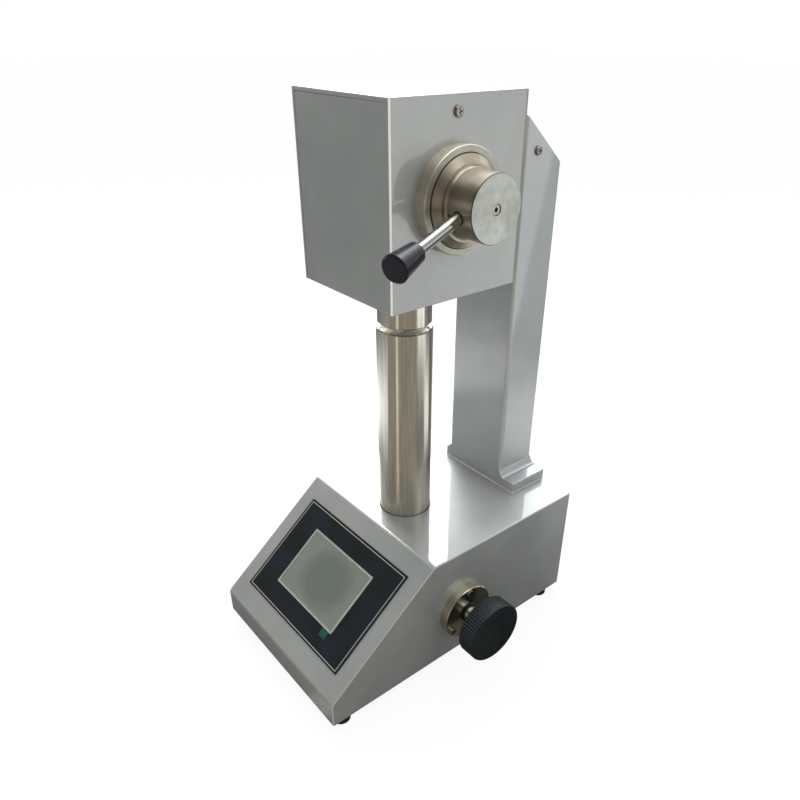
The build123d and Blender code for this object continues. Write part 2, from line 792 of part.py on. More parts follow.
def make_arm():
    z0, z1 = arm_heights()
    half = arm_width / 2
    y0 = head_y1
    y1 = back_y - arm_back_clearance
    seat = y0 + 2 * arm_wall
    arm = block(-half, half, y0, y1, z0, z1)
    arm -= block(-half + arm_wall, half - arm_wall, seat, y1 + 1, z0 + arm_wall, z1 - arm_wall)
    bolts = []
    for x, z in arm_bolt_places():
        arm -= rod_y(arm_bolt_radius, y0 - 1, seat + 1, x, z)
        bolt = socket_screw(arm_bolt_radius, arm_bolt_radius * 1.6, arm_bolt_radius * 2,
                            2 * arm_wall + head_sheet + frame_back_thickness - 2, arm_bolt_radius * 1.6)
        bolts.append(Pos(x, seat, z) * Rot(-90, 0, 0) * bolt)
    lug_y, lug_z = arm_screw_place()
    inner = column_width / 2 - column_wall
    lug_half = arm_lug_half
    screws = []
    for side in (-1, 1):
        x0, x1 = sorted((side * (half - arm_wall), side * (inner - panel_fit)))
        arm += block(x0, x1, lug_y - lug_half, lug_y + lug_half, z1 - arm_wall, lug_z + lug_half)
        screw = pan_screw(arm_screw_radius, arm_screw_head_radius, arm_screw_head, column_wall + 6)
        screws.append(Pos(side * column_width / 2, lug_y, lug_z) * Rot(0, side * 90, 0) * screw)
        arm -= rod_x(arm_screw_radius, side * (column_width / 2 - 4) - 8, side * (column_width / 2 - 4) + 8,
                     lug_y, lug_z)
    keep("head_arm", arm)
    return bolts, screws


def make_head():
    shell = block(-head_x, head_x, head_y0, head_y1, head_bottom, head_top)
    upright = shell.edges().filter_by(Axis.Z).sort_by(Axis.Y)
    shell = fillet(upright[:2], head_front_radius)
    upright = [e for e in shell.edges().filter_by(Axis.Z) if abs(e.center().Y - head_y1) < 0.01]
    shell = fillet(upright, head_back_radius)
    shell = fillet(shell.edges().group_by(Axis.Z)[-1], head_top_radius)
    t = head_sheet
    shell -= block(-head_x + t, head_x - t, head_y0 + t, head_y1 - t, head_bottom - 1, head_top - t)
    lip = head_lip
    shell -= block(-head_x + lip, head_x - lip, head_y0 - 1, head_y0 + t + 1, head_bottom - 1, head_top - lip)
    back_lip = head_back_lip
    shell -= block(-head_x + back_lip, head_x - back_lip, head_y1 - t - 1, head_y1 + 1, head_bottom - 1,
                   head_top - back_lip)
    hub_hole = ring_hub_radius + ring_hub_hole_fit
    shell -= rod_x(hub_hole, head_x - t - 1, head_x + 1, post_y, cam_height)
    screws = []
    screw_z = head_top - head_screw_below_top
    for side in (-1, 1):
        shell -= rod_x(head_screw_radius, side * head_x - 5, side * head_x + 5, post_y, screw_z)
        length = head_x - frame_cheek_x - 2.0
        screw = pan_screw(head_screw_radius, head_screw_head_radius, head_screw_head, length)
        screws.append(Pos(side * head_x, post_y, screw_z) * Rot(0, side * 90, 0) * screw)
    keep("head_cover", shell)

    gap = head_panel_gap
    panel = block(-head_x + lip + gap, head_x - lip - gap, head_y0 + head_panel_sunk,
                  head_y0 + head_panel_sunk + t, head_bottom, head_top - lip - gap)
    keep("head_front_panel", panel)
    back = block(-head_x + back_lip + gap, head_x - back_lip - gap, head_y1 - t, head_y1,
                 head_bottom, head_top - back_lip - gap)
    for x, z in arm_bolt_places():
        back -= rod_y(arm_bolt_radius, head_y1 - t - 1, head_y1 + 1, x, z)
    keep("head_back_panel", back)
    floor = block(-head_x + t + gap, head_x - t - gap, head_y0 + head_panel_sunk + t, head_y1 - t,
                  head_bottom, head_bottom + head_floor_thickness)
    floor -= rod_z(collar_radius + panel_fit, head_bottom - 1, head_bottom + head_floor_thickness + 1,
                   0, post_y)
    keep("head_bottom_plate", floor)
    return screws


def make_frame():
    outer = frame_outer
    back_y0 = frame_back_y - frame_back_thickness
    top = frame_top
    frame = block(-outer, outer, back_y0, frame_back_y, frame_bottom, top)
    cheek_y0 = post_y - frame_cheek_depth / 2
    for side in (-1, 1):
        x0, x1 = sorted((side * frame_cheek_x, side * outer))
        frame += block(x0, x1, cheek_y0, back_y0, frame_bottom, top)
    frame += block(-outer, outer, cheek_y0, back_y0, frame_bottom, shelf_top)
    frame -= rod_z(spindle_radius + spindle_bush_wall, frame_bottom - 1, shelf_top + 1, 0, post_y)
    bush_outer = cam_shaft_radius + bush_sleeve_wall
    frame -= rod_x(bush_outer, -outer - 1, outer + 1, post_y, cam_height)
    for y, z in ring_places(ring_screw_count, ring_screw_circle, 45.0):
        frame -= rod_x(ring_screw_radius, frame_cheek_x - 1, outer + 1, post_y + y, cam_height + z)
    for x, z in arm_bolt_places():
        frame -= rod_y(arm_bolt_radius, back_y0 - 1, frame_back_y + 1, x, z)
    boss_z = head_top - head_screw_below_top
    boss_end = head_x - head_sheet
    for side in (-1, 1):
        x0, x1 = sorted((side * outer, side * boss_end))
        frame += rod_x(frame_boss_radius, x0, x1, post_y, boss_z)
        x0, x1 = sorted((side * (frame_cheek_x - 1), side * (boss_end + 1)))
        frame -= rod_x(head_screw_radius, x0, x1, post_y, boss_z)
    keep("head_frame", frame)

    left = rod_x(bush_outer, -outer, -frame_cheek_x, post_y, cam_height)
    left -= rod_x(cam_shaft_radius + running_fit, -outer - 1, -frame_cheek_x + 1, post_y, cam_height)
    bush_end = head_x + ring_floor
    right = rod_x(bush_outer, frame_cheek_x, bush_end, post_y, cam_height)
    right -= rod_x(cam_shaft_radius + running_fit, frame_cheek_x - 1, bush_end + 1, post_y, cam_height)
    keep("cam_bushes", left, right)

    ring = turned_x([(outer, ring_hub_radius), (head_x, ring_hub_radius), (head_x, ring_radius),
                     (ring_face - ring_edge, ring_radius), (ring_face, ring_radius - ring_edge)],
                    post_y, cam_height)
    ring -= rod_x(ring_bore_radius, head_x + ring_floor, ring_face + 1, post_y, cam_height)
    ring -= rod_x(bush_outer, outer - 1, ring_face, post_y, cam_height)
    screws = []
    seat = head_x + ring_floor - ring_screw_pocket
    for y, z in ring_places(ring_screw_count, ring_screw_circle, 45.0):
        ring -= rod_x(ring_screw_radius, outer - 1, ring_face, post_y + y, cam_height + z)
        ring -= rod_x(ring_screw_radius * 1.8, seat, ring_face, post_y + y, cam_height + z)
        screw = socket_screw(ring_screw_radius, ring_screw_radius * 1.7, 3.0,
                             seat - frame_cheek_x - 1, ring_screw_radius * 1.6)
        screws.append(Pos(seat, post_y + y, cam_height + z) * Rot(0, 90, 0) * screw)
    keep("drum_ring", ring)
    return screws


def make_drum():
    disc_x = ring_face + 1.0
    profile = [(drum_back_x, drum_disc_radius), (disc_x, drum_disc_radius), (drum_step_x, drum_step_radius)]
    cove_steps = 4
    for k in range(cove_steps + 1):
        a = math.radians(90.0 * k / cove_steps)
        x = drum_step_x + drum_cove * (1 - math.cos(a))
        r = drum_radius + drum_cove * (1 - math.sin(a))
        profile.append((x, r))
    profile += [(drum_face - drum_edge, drum_radius), (drum_face, drum_radius - drum_edge)]
    drum = turned_x(profile, post_y, cam_height)
    shaft_end = drum_face - drum_web
    drum -= rod_x(cam_shaft_radius, drum_back_x - 1, shaft_end, post_y, cam_height)
    drum -= rod_x(drum_screw_radius, shaft_end - 1, drum_face + 1, post_y, cam_height)
    seat = drum_face - drum_screw_head - drum_screw_sunk
    drum -= rod_x(drum_screw_pocket_radius, seat, drum_face + 1, post_y, cam_height)
    drum -= lever_axis() * Pos(0, 0, lever_root) * Cylinder(
        lever_rod_radius, drum_radius * 2, align=(Align.CENTER, Align.CENTER, Align.MIN))
    set_axis = set_screw_axis()
    drum -= set_axis * Pos(0, 0, cam_shaft_radius) * Cylinder(
        set_screw_radius, drum_radius, align=(Align.CENTER, Align.CENTER, Align.MIN))
    keep("load_drum", drum)
    depth = drum_radius - cam_shaft_radius - 2.0
    grub = set_axis * Pos(0, 0, cam_shaft_radius) * Cylinder(
        set_screw_radius, depth, align=(Align.CENTER, Align.CENTER, Align.MIN))
    screw = socket_screw(drum_screw_radius, drum_screw_head_radius, drum_screw_head,
                         seat - shaft_end + drum_screw_grip, drum_screw_head_radius)
    keep("drum_screws", grub, Pos(seat, post_y, cam_height) * Rot(0, 90, 0) * screw)

    shaft_start = -frame_outer - 2.0
    shaft = rod_x(cam_shaft_radius, shaft_start, shaft_end, post_y, cam_height)
    shaft -= rod_x(drum_screw_radius, shaft_end - drum_screw_grip - 1, shaft_end + 1, post_y, cam_height)
    keep("cam_shaft", shaft)

    half = cam_width / 2
    first = 90.0 + cam_overrun_degrees
    last = 90.0 - lever_travel_degrees - cam_overrun_degrees
    steps = 30
    outline = []
    for k in range(steps + 1):
        angle = math.radians(first + (last - first) * k / steps)
        radius = cam_rest_radius - cam_rate * (math.radians(90.0) - angle)
        outline.append((post_y + radius * math.cos(angle), cam_height + radius * math.sin(angle)))
    low = radius
    for k in range(1, steps):
        angle = math.radians(last + (first - 360.0 - last) * k / steps)
        outline.append((post_y + low * math.cos(angle), cam_height + low * math.sin(angle)))
    cam = side_prism(outline, -half, half)
    cam -= rod_x(cam_shaft_radius, -half - 1, half + 1, post_y, cam_height)
    keep("spiral_cam", cam)

    rod_length = grip_start + grip_overlap - lever_root
    rod = lever_axis() * Pos(0, 0, lever_root) * Cylinder(
        lever_rod_radius, rod_length, align=(Align.CENTER, Align.CENTER, Align.MIN))
    keep("lever_rod", rod)
    grip = turned_z([(grip_small_radius - grip_edge, 0.0), (grip_small_radius, grip_edge),
                     (grip_large_radius, grip_length - grip_edge),
                     (grip_large_radius - grip_edge, grip_length)], 0, 0)
    grip -= Cylinder(lever_rod_radius, grip_overlap * 2)
    keep("lever_grip", lever_axis() * Pos(0, 0, grip_start) * grip)


def lever_axis():
    """Frame whose +Z runs out along the lever from the drum's axis."""
    tilt = math.radians(lever_tilt_degrees)
    turn = math.radians(lever_degrees)
    way = Vector(math.sin(tilt), math.cos(tilt) * math.cos(turn), math.cos(tilt) * math.sin(turn))
    return Plane(origin=(lever_axis_x, post_y, cam_height), z_dir=way).location


def set_screw_axis():
    turn = math.radians(lever_degrees)
    way = Vector(0, math.cos(turn), math.sin(turn))
    return Plane(origin=(head_x + set_screw_reach, post_y, cam_height), z_dir=way).location


def make_indenter():
    tip_bottom = collar_bottom + tip_recess
    tip_top = tip_bottom + tip_length
    tip = rod_z(tip_radius, tip_bottom + tip_ball_radius + 2.0, tip_top, 0, post_y)
    tip += turned_z([(tip_ball_radius * 0.8, tip_bottom + tip_ball_radius),
                     (tip_radius, tip_bottom + tip_ball_radius + 2.0)], 0, post_y)
    tip += Pos(0, post_y, tip_bottom + tip_ball_radius) * Sphere(tip_ball_radius)
    keep("indenter_tip", tip)

    window_bottom = cam_height - yoke_window_low
    yoke_bottom = window_bottom - yoke_bottom_bar
    spindle = rod_z(spindle_radius, tip_top, yoke_bottom, 0, post_y)
    keep("indenter_spindle", spindle)

    weight_bottom = shelf_top + weight_bottom_gap
    weight = rod_z(weight_radius, weight_bottom, weight_bottom + weight_thickness, 0, post_y)
    weight = chamfer(weight.edges().filter_by(GeomType.CIRCLE), 1.0)
    weight -= rod_z(spindle_radius, weight_bottom - 1, weight_bottom + weight_thickness + 1, 0, post_y)
    keep("load_weight", weight)

    half = yoke_thickness / 2
    side = yoke_width / 2
    top = follower_z + yoke_bar
    yoke = block(-half, half, post_y - side, post_y + side, yoke_bottom, top)
    yoke -= block(-half - 1, half + 1, post_y - side + yoke_bar, post_y + side - yoke_bar,
                  window_bottom, follower_z - 1.0)
    yoke -= rod_x(follower_radius, -half - 1, half + 1, post_y, follower_z)
    keep("lift_yoke", yoke)
    keep("follower_pin", rod_x(follower_radius, -half, half, post_y, follower_z))
    keep("sensor_core", rod_z(core_radius, top, top + core_length, 0, post_y))

    body_bottom = top + sensor_gap
    body = rod_z(sensor_radius, body_bottom, body_bottom + sensor_length, 0, post_y)
    body -= rod_z(sensor_bore_radius, body_bottom - 1, body_bottom + sensor_length + 1, 0, post_y)
    keep("displacement_sensor", body)
    bracket_z = body_bottom + sensor_length / 2
    y1 = frame_back_y - frame_back_thickness
    bracket = block(-sensor_radius - 6, sensor_radius + 6, post_y - sensor_radius - 6, y1,
                    bracket_z, bracket_z + sensor_bracket_thickness)
    bracket -= rod_z(sensor_radius, bracket_z - 1, bracket_z + sensor_bracket_thickness + 1, 0, post_y)
    keep("sensor_bracket", bracket)


def make_collar():
    top = frame_bottom
    collar = turned_z([(collar_radius - collar_edge, collar_bottom),
                       (collar_radius, collar_bottom + collar_edge),
                       (collar_radius, top)], 0, post_y)
    bush_outer = spindle_radius + spindle_bush_wall
    collar -= rod_z(collar_bore_radius, collar_bottom - 1, top + 1, 0, post_y)
    collar -= rod_z(presser_radius + presser_fit, collar_bottom - 1, collar_bottom + presser_thickness,
                    0, post_y)
    keep("presser_collar", collar)
    foot = rod_z(presser_radius, collar_bottom, collar_bottom + presser_thickness, 0, post_y)
    foot -= rod_z(presser_hole_radius, collar_bottom - 1, collar_bottom + presser_thickness + 1, 0, post_y)
    keep("presser_foot", foot)

    bush = rod_z(bush_outer, frame_bottom, shelf_top, 0, post_y)
    bush -= rod_z(spindle_radius + running_fit, frame_bottom - 1, shelf_top + 1, 0, post_y)
    keep("spindle_bush", bush)


def make_rear():
    y0 = back_y
    y1 = back_y + rear_panel_thickness
    mid = base_height / 2
    panel = block(-rear_panel_width / 2, rear_panel_width / 2, y0, y1,
                  mid - rear_panel_height / 2, mid + rear_panel_height / 2)
    panel = fillet(panel.edges().filter_by(Axis.Y), 3.0)
    row = rear_row_height
    body_w = inlet_width - 2 * inlet_flange
    panel -= block(inlet_x - body_w / 2 - panel_fit, inlet_x + body_w / 2 + panel_fit, y0 - 1, y1 + 1,
                   row - inlet_height / 2 + 2, row + inlet_height / 2 - 2)
    panel -= block(switch_x - switch_width / 2 - panel_fit, switch_x + switch_width / 2 + panel_fit,
                   y0 - 1, y1 + 1, row - switch_height / 2 - panel_fit, row + switch_height / 2 + panel_fit)
    for k in range(vent_count):
        x = (k - (vent_count - 1) / 2) * vent_pitch
        slot = block(x - vent_width / 2, x + vent_width / 2, y0 - 1, y1 + 1,
                     vent_row_height - vent_height / 2, vent_row_height + vent_height / 2)
        panel -= fillet(slot.edges().filter_by(Axis.Y), vent_width * 0.45)
    screws = []
    for x, z in rear_holes():
        panel -= rod_y(small_screw_radius, y0 - 1, y1 + 1, x, z)
        screw = pan_screw(small_screw_radius, small_screw_head_radius, small_screw_head, 7.0)
        screws.append(Pos(x, y1, z) * Rot(-90, 0, 0) * screw)
    keep("rear_panel", panel)

    face = y1 + inlet_flange_thickness
    inlet = block(inlet_x - inlet_width / 2, inlet_x + inlet_width / 2, y1, face,
                  row - inlet_height / 2, row + inlet_height / 2)
    inlet = fillet(inlet.edges().filter_by(Axis.Y), 4.0)
    inlet += block(inlet_x - body_w / 2, inlet_x + body_w / 2, face - inlet_depth, y1 + 0.5,
                   row - inlet_height / 2 + 2 + panel_fit, row + inlet_height / 2 - 2 - panel_fit)
    socket = block(inlet_x - inlet_socket_width / 2, inlet_x + inlet_socket_width / 2,
                   face - inlet_socket_depth, face + 1,
                   row - inlet_socket_height / 2, row + inlet_socket_height / 2)
    inlet -= chamfer(socket.edges().filter_by(Axis.Y).group_by(Axis.Z)[-1], inlet_corner)
    pins = []
    for dx, dz in inlet_pins:
        pins.append(block(inlet_x + dx - 1.0, inlet_x + dx + 1.0, face - inlet_socket_depth,
                          face - inlet_pin_sunk,
                          row + dz - 2.0, row + dz + 2.0))
    for side in (-1, 1):
        x = inlet_x + side * (inlet_width / 2 - inlet_flange / 2 - 0.5)
        inlet -= rod_y(small_screw_radius, y0 - 1, face + 1, x, row)
        panel_hole = rod_y(small_screw_radius, y0 - 1, face + 1, x, row)
        nodes["rear_panel"] = nodes["rear_panel"] - panel_hole
        screw = pan_screw(small_screw_radius, small_screw_head_radius, small_screw_head, 7.0)
        screws.append(Pos(x, face, row) * Rot(-90, 0, 0) * screw)
    keep("power_inlet", inlet, *pins)

    face = y1 + switch_flange_thickness
    half_w = switch_width / 2
    half_h = switch_height / 2
    edge = switch_flange
    body = block(switch_x - half_w - edge, switch_x + half_w + edge, y1, face,
                 row - half_h - edge, row + half_h + edge)
    body += block(switch_x - half_w, switch_x + half_w, face - switch_depth, y1 + 0.5,
                  row - half_h, row + half_h)
    well_w = half_w - switch_wall
    well_h = half_h - switch_wall
    body -= block(switch_x - well_w, switch_x + well_w, face - switch_well, face + 1,
                  row - well_h, row + well_h)
    pivot_y, pivot_z = rocker_pivot()
    body += rod_z(rocker_pin_radius, row - half_h, row + half_h, switch_x, pivot_y)
    keep("switch_housing", body)

    reach = well_w - rocker_fit - 0.8
    dip = math.tan(math.radians(rocker_degrees)) * reach
    outline = [(-reach, 1.2), (0.0, 2.0), (reach, 1.2 + dip * 2), (reach, -1.0), (2.5, -3.0), (-2.5, -3.0),
               (-reach, -1.0)]
    rocker = extrude(make_face(Polyline(*outline, close=True)), (well_h - rocker_fit) * 2)
    rocker -= Cylinder(rocker_pin_radius + running_fit, inlet_height * 2)
    keep("power_rocker", Pos(switch_x, pivot_y, pivot_z - (well_h - rocker_fit)) * rocker)
    return screws


def rocker_pivot():
    return back_y + rear_panel_thickness + switch_flange_thickness - 2.2, rear_row_height


def make_electronics():
    z0 = floor_top
    top = z0 + board_standoff_height
    board_y = post_y + board_behind_post
    half_w = board_width / 2
    half_d = board_depth / 2
    board = block(board_x - half_w, board_x + half_w, board_y - half_d, board_y + half_d,
                  top, top + board_thickness)
    standoffs = []
    for sx in (-1, 1):
        for sy in (-1, 1):
            x = board_x + sx * (half_w - 2 * board_standoff_radius)
            y = board_y + sy * (half_d - 2 * board_standoff_radius)
            standoffs.append(rod_z(board_standoff_radius, z0, top, x, y))
    for dx, dy, w, d, h in board_chips:
        x = board_x + dx
        y = board_y + dy
        board += block(x - w / 2, x + w / 2, y - d / 2, y + d / 2, top, top + board_thickness + h)
    keep("controller_board", board, *standoffs)
    supply_y1 = back_y + rear_panel_thickness + inlet_flange_thickness - inlet_depth - supply_gap
    supply = block(supply_x - supply_width / 2, supply_x + supply_width / 2, supply_y1 - supply_depth,
                   supply_y1, z0, z0 + supply_height)
    keep("power_supply", fillet(supply.edges().filter_by(Axis.Z), 2.0))


foot_screws = make_base()
make_control_panel()
make_post()
make_rack()
make_lift_drive()
bush_screws = make_guide_bush()
column_bolts = make_column()
arm_bolts, arm_screws = make_arm()
cover_screws = make_head()
drum_ring_screws = make_frame()
make_drum()
make_indenter()
make_collar()
rear_screws = make_rear()
make_electronics()
keep("machine_screws", *column_bolts, *arm_bolts, *bush_screws, *drum_ring_screws)
keep("side_screws", *arm_screws, *cover_screws)
keep("casing_screws", *foot_screws, *rear_screws)

os.makedirs("parts", exist_ok=True)
for name, solid in nodes.items():
    export_step(solid, f"parts/{name}.step")
print(f"{len(nodes)} nodes, stage travel {lift_travel} mm, knob turn {lift_turn_degrees:.3f} degrees")
print(f"post axis y {post_y:.3f}, lift axis y {lift_y:.3f} z {lift_height:.3f}, cam axis z {cam_height:.3f}")
print(f"stage top z {stage_top:.3f}, collar bottom z {collar_bottom:.3f}, head top z {head_top:.3f}")
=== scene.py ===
import json
import math

import bmesh
import bpy
from mathutils import Matrix, Vector


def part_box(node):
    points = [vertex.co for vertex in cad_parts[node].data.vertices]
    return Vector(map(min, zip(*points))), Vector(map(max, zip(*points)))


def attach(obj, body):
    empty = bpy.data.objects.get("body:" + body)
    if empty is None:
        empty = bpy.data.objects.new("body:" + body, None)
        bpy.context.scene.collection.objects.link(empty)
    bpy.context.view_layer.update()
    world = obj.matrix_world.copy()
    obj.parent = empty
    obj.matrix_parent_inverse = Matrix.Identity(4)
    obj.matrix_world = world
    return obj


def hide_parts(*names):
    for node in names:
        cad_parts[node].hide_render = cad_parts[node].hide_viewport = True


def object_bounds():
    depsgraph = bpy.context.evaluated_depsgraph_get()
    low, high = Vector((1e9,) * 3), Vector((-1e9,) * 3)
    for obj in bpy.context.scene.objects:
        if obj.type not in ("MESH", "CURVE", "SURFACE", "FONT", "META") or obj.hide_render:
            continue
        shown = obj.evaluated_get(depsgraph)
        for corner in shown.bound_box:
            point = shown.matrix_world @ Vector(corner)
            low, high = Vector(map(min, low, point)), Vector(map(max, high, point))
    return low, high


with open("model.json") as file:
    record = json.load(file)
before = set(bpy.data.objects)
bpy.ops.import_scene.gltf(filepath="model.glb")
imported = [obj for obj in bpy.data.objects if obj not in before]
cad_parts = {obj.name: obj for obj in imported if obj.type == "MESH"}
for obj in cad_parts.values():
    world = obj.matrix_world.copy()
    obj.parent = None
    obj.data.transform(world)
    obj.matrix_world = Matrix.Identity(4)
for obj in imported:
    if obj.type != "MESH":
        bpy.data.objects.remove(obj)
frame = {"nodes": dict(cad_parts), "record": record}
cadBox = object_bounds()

nodes = frame["nodes"]
mm = 0.001

# places that the CAD part fixes, in metres
stageAxis = Vector((0.0, 0.010, 0.0))        # post, collar and indenter stand on this line
drumAxis = Vector((0.0, 0.010, 0.4859))      # drum, ring and lever turn about this line along X
knobAxis = Vector((0.0, 0.0025, 0.059))      # hand knob and its flange turn about this one
slope = {"rise": 108 * mm, "run": 133 * mm, "lip": Vector((0.0, -0.1725, 0.0295))}
slopeAngle = math.atan2(slope["rise"], slope["run"])


def linear(hexCode):
    # sRGB hex to the linear colour that Blender's sockets take
    parts = [int(hexCode[i:i + 2], 16) / 255 for i in (1, 3, 5)]
    return [c / 12.92 if c <= 0.04045 else ((c + 0.055) / 1.055) ** 2.4 for c in parts] + [1.0]


def addNode(tree, kind, inputs=None, **settings):
    # one node with its settings; an input given as a socket is linked, any other value is set
    node = tree.nodes.new(kind)
    for key, value in settings.items():
        setattr(node, key, value)
    for key, value in (inputs or {}).items():
        if isinstance(value, bpy.types.NodeSocket):
            tree.links.new(value, node.inputs[key])
        else:
            node.inputs[key].default_value = value
    return node


def newFinish(name, shaderInputs):
    # a material with one Principled shader; returns it with its tree, shader and object coordinates
    finish = bpy.data.materials.new(name)
    finish.use_nodes = True
    tree = finish.node_tree
    tree.nodes.clear()
    shader = addNode(tree, "ShaderNodeBsdfPrincipled", shaderInputs)
    addNode(tree, "ShaderNodeOutputMaterial", {"Surface": shader.outputs["BSDF"]})
    coords = addNode(tree, "ShaderNodeTexCoord").outputs["Object"]
    return finish, tree, shader, coords


# most of a noise lies between these values, so a drift of colour or roughness runs from one to the other
noiseSpan = {"colour": (0.34, 0.66), "roughness": (0.3, 0.7)}


def mottle(tree, coords, low, high, grain, detail=3.0):
    # a colour that drifts between two hex colours over patches of that size in metres
    patches = addNode(tree, "ShaderNodeTexNoise", {"Vector": coords, "Scale": 1 / grain, "Detail": detail})
    ramp = addNode(tree, "ShaderNodeValToRGB", {"Fac": patches.outputs["Fac"]})
    for point, place, colour in zip(ramp.color_ramp.elements, noiseSpan["colour"], (low, high)):
        point.position = place
        point.color = linear(colour)
    return ramp.outputs["Color"]


def driftRoughness(tree, shader, noise, low, high):
    # roughness that follows a noise from low to high; returns it for those that blend it further
    start, end = noiseSpan["roughness"]
    span = addNode(tree, "ShaderNodeMapRange", {"Value": noise.outputs["Fac"], "From Min": start,
                                               "From Max": end, "To Min": low, "To Max": high})
    tree.links.new(span.outputs["Result"], shader.inputs["Roughness"])
    return span.outputs["Result"]


print("materials")
# silver lacquer on sheet steel: the real flakes are about 0.05 mm and are drawn coarser, so that they show
# the edge colour paints a highlight along rounded edges, the fold colour paints one along upright folds
paintLook = {"low": "#989B9A", "high": "#A1A4A2", "cloud": 60 * mm, "roughness": (0.43, 0.50),
             "flake": 0.45 * mm, "metallic": 0.45, "coat": 0.035, "peel": 1.6 * mm, "peelDepth": 0.006 * mm,
             "round": 0.9 * mm, "edge": "#BEC0BB", "edgeTurn": (0.995, 0.90), "edgeShare": 0.6,
             "foldHighlight": "#A6A8A3", "foldTurn": (-0.10, -0.30)}
# the head's front right fold carries a near white painted highlight
headPaint = {**paintLook, "foldHighlight": "#FBF9F0"}
columnPaint = {**paintLook, "low": "#A1A6A8", "high": "#AAAFB0", "foldHighlight": "#AFB0A8"}


def silverLacquer(name, look):
    # sprayed aluminium flake lacquer, clear coated: a broad metal sheen under a sharp gloss, with highlights
    # painted pale along edges and folds
    finish, tree, shader, coords = newFinish(name, {
        "Coat Weight": 1.0, "Coat Roughness": look["coat"], "Coat IOR": 1.5})
    clouds = mottle(tree, coords, look["low"], look["high"], look["cloud"])
    flakes = addNode(tree, "ShaderNodeTexNoise", {"Vector": coords, "Scale": 1 / look["flake"],
                                                 "Detail": 4.0})
    driftRoughness(tree, shader, flakes, *look["roughness"])
    # painted highlight: a paler colour where the bevel's rounded normal turns away from the flat one, on
    # every edge
    rounded = addNode(tree, "ShaderNodeBevel", {"Radius": look["round"]}, samples=6)
    flat = addNode(tree, "ShaderNodeNewGeometry").outputs["Normal"]
    turn = addNode(tree, "ShaderNodeVectorMath", {0: rounded.outputs["Normal"], 1: flat},
                   operation="DOT_PRODUCT")
    edge = addNode(tree, "ShaderNodeMapRange", {
        "Value": turn.outputs["Value"], "From Min": look["edgeTurn"][0], "From Max": look["edgeTurn"][1],
        "To Max": look["edgeShare"]})
    edgeHighlight = addNode(tree, "ShaderNodeMix", {"Factor": edge.outputs["Result"], "A": clouds,
                                          "B": linear(look["edge"])}, data_type="RGBA")
    # painted highlight on the upright folds at the front right and back left: there the normal lies between
    # two sides, so that its x times y is well below zero; the pale fold colour also takes the place of the
    # metal sheen there
    split = addNode(tree, "ShaderNodeSeparateXYZ", {"Vector": flat})
    product = addNode(tree, "ShaderNodeMath", {0: split.outputs["X"], 1: split.outputs["Y"]},
                      operation="MULTIPLY")
    foldHighlight = addNode(tree, "ShaderNodeMapRange", {
        "Value": product.outputs["Value"], "From Min": look["foldTurn"][0], "From Max": look["foldTurn"][1]})
    both = addNode(tree, "ShaderNodeMix", {"Factor": foldHighlight.outputs["Result"], "A": edgeHighlight.outputs["Result"],
                                          "B": linear(look["foldHighlight"])}, data_type="RGBA")
    tree.links.new(both.outputs["Result"], shader.inputs["Base Color"])
    metal = addNode(tree, "ShaderNodeMapRange", {"Value": foldHighlight.outputs["Result"],
                                                "To Min": look["metallic"], "To Max": 0.0})
    tree.links.new(metal.outputs["Result"], shader.inputs["Metallic"])
    peel = addNode(tree, "ShaderNodeTexNoise", {"Vector": coords, "Scale": 1 / look["peel"], "Detail": 1.0})
    bump = addNode(tree, "ShaderNodeBump", {"Height": peel.outputs["Fac"], "Distance": look["peelDepth"],
                                           "Normal": rounded.outputs["Normal"]})
    tree.links.new(bump.outputs["Normal"], shader.inputs["Normal"])
    tree.links.new(bump.outputs["Normal"], shader.inputs["Coat Normal"])
    return finish


# nickel plated steel off the lathe: real tool marks are about 0.1 mm apart and are drawn coarser, to show
latheLook = {"twist": 0.25, "pitch": 0.5 * mm, "depth": 0.001 * mm, "drawn": 1.0}
postLook = {**latheLook, "low": "#C2BDB0", "high": "#D6D3C9", "roughness": (0.17, 0.24), "anisotropy": 0.85,
            "pitch": 0.45 * mm, "depth": 0.0008 * mm, "stain": 1.6 * mm, "drawn": 0.03}
flangeLook = {**latheLook, "low": "#C2BBA6", "high": "#D1CBBA", "roughness": (0.19, 0.26),
              "anisotropy": 0.4, "stain": 5 * mm}
# the drum's sides and recessed disc are painted darker and browner than its end face: painted shade for the
# recess and for the dark reflections on the drum
drumLook = {**latheLook, "low": "#9C9386", "high": "#AAA194", "roughness": (0.33, 0.40), "anisotropy": 0.75,
            "stain": 7 * mm, "faceLow": "#A3A6A0", "faceHigh": "#B3B6B0", "faceRough": 0.40,
            "faceBand": (0.30 * mm, 0.10 * mm), "line": "#4C4840", "lineRadius": 27.4 * mm,
            "lineFade": 0.15 * mm, "lineBand": (0.9 * mm, 0.7 * mm)}
# the ring's sides are a paler copy of the same nickel: a painted highlight for the bright reflection on its
# rim
ringLook = {**drumLook, "low": "#D3C9B9", "high": "#DFD6C7", "faceLow": "#A8A9A0", "faceHigh": "#B5B6AD",
            "faceRough": 0.50, "lineRadius": None}


def lathePlace(tree, coords, centre, axis):
    # length along a lathe axis and distance from it
    moved = addNode(tree, "ShaderNodeVectorMath", {0: coords, 1: centre}, operation="SUBTRACT")
    split = addNode(tree, "ShaderNodeSeparateXYZ", {"Vector": moved.outputs["Vector"]})
    others = [split.outputs[name] for name in "XYZ" if name != axis]
    flat = addNode(tree, "ShaderNodeCombineXYZ", {"X": others[0], "Y": others[1]})
    away = addNode(tree, "ShaderNodeVectorMath", {0: flat.outputs["Vector"]}, operation="LENGTH")
    return split.outputs[axis], away.outputs["Value"]


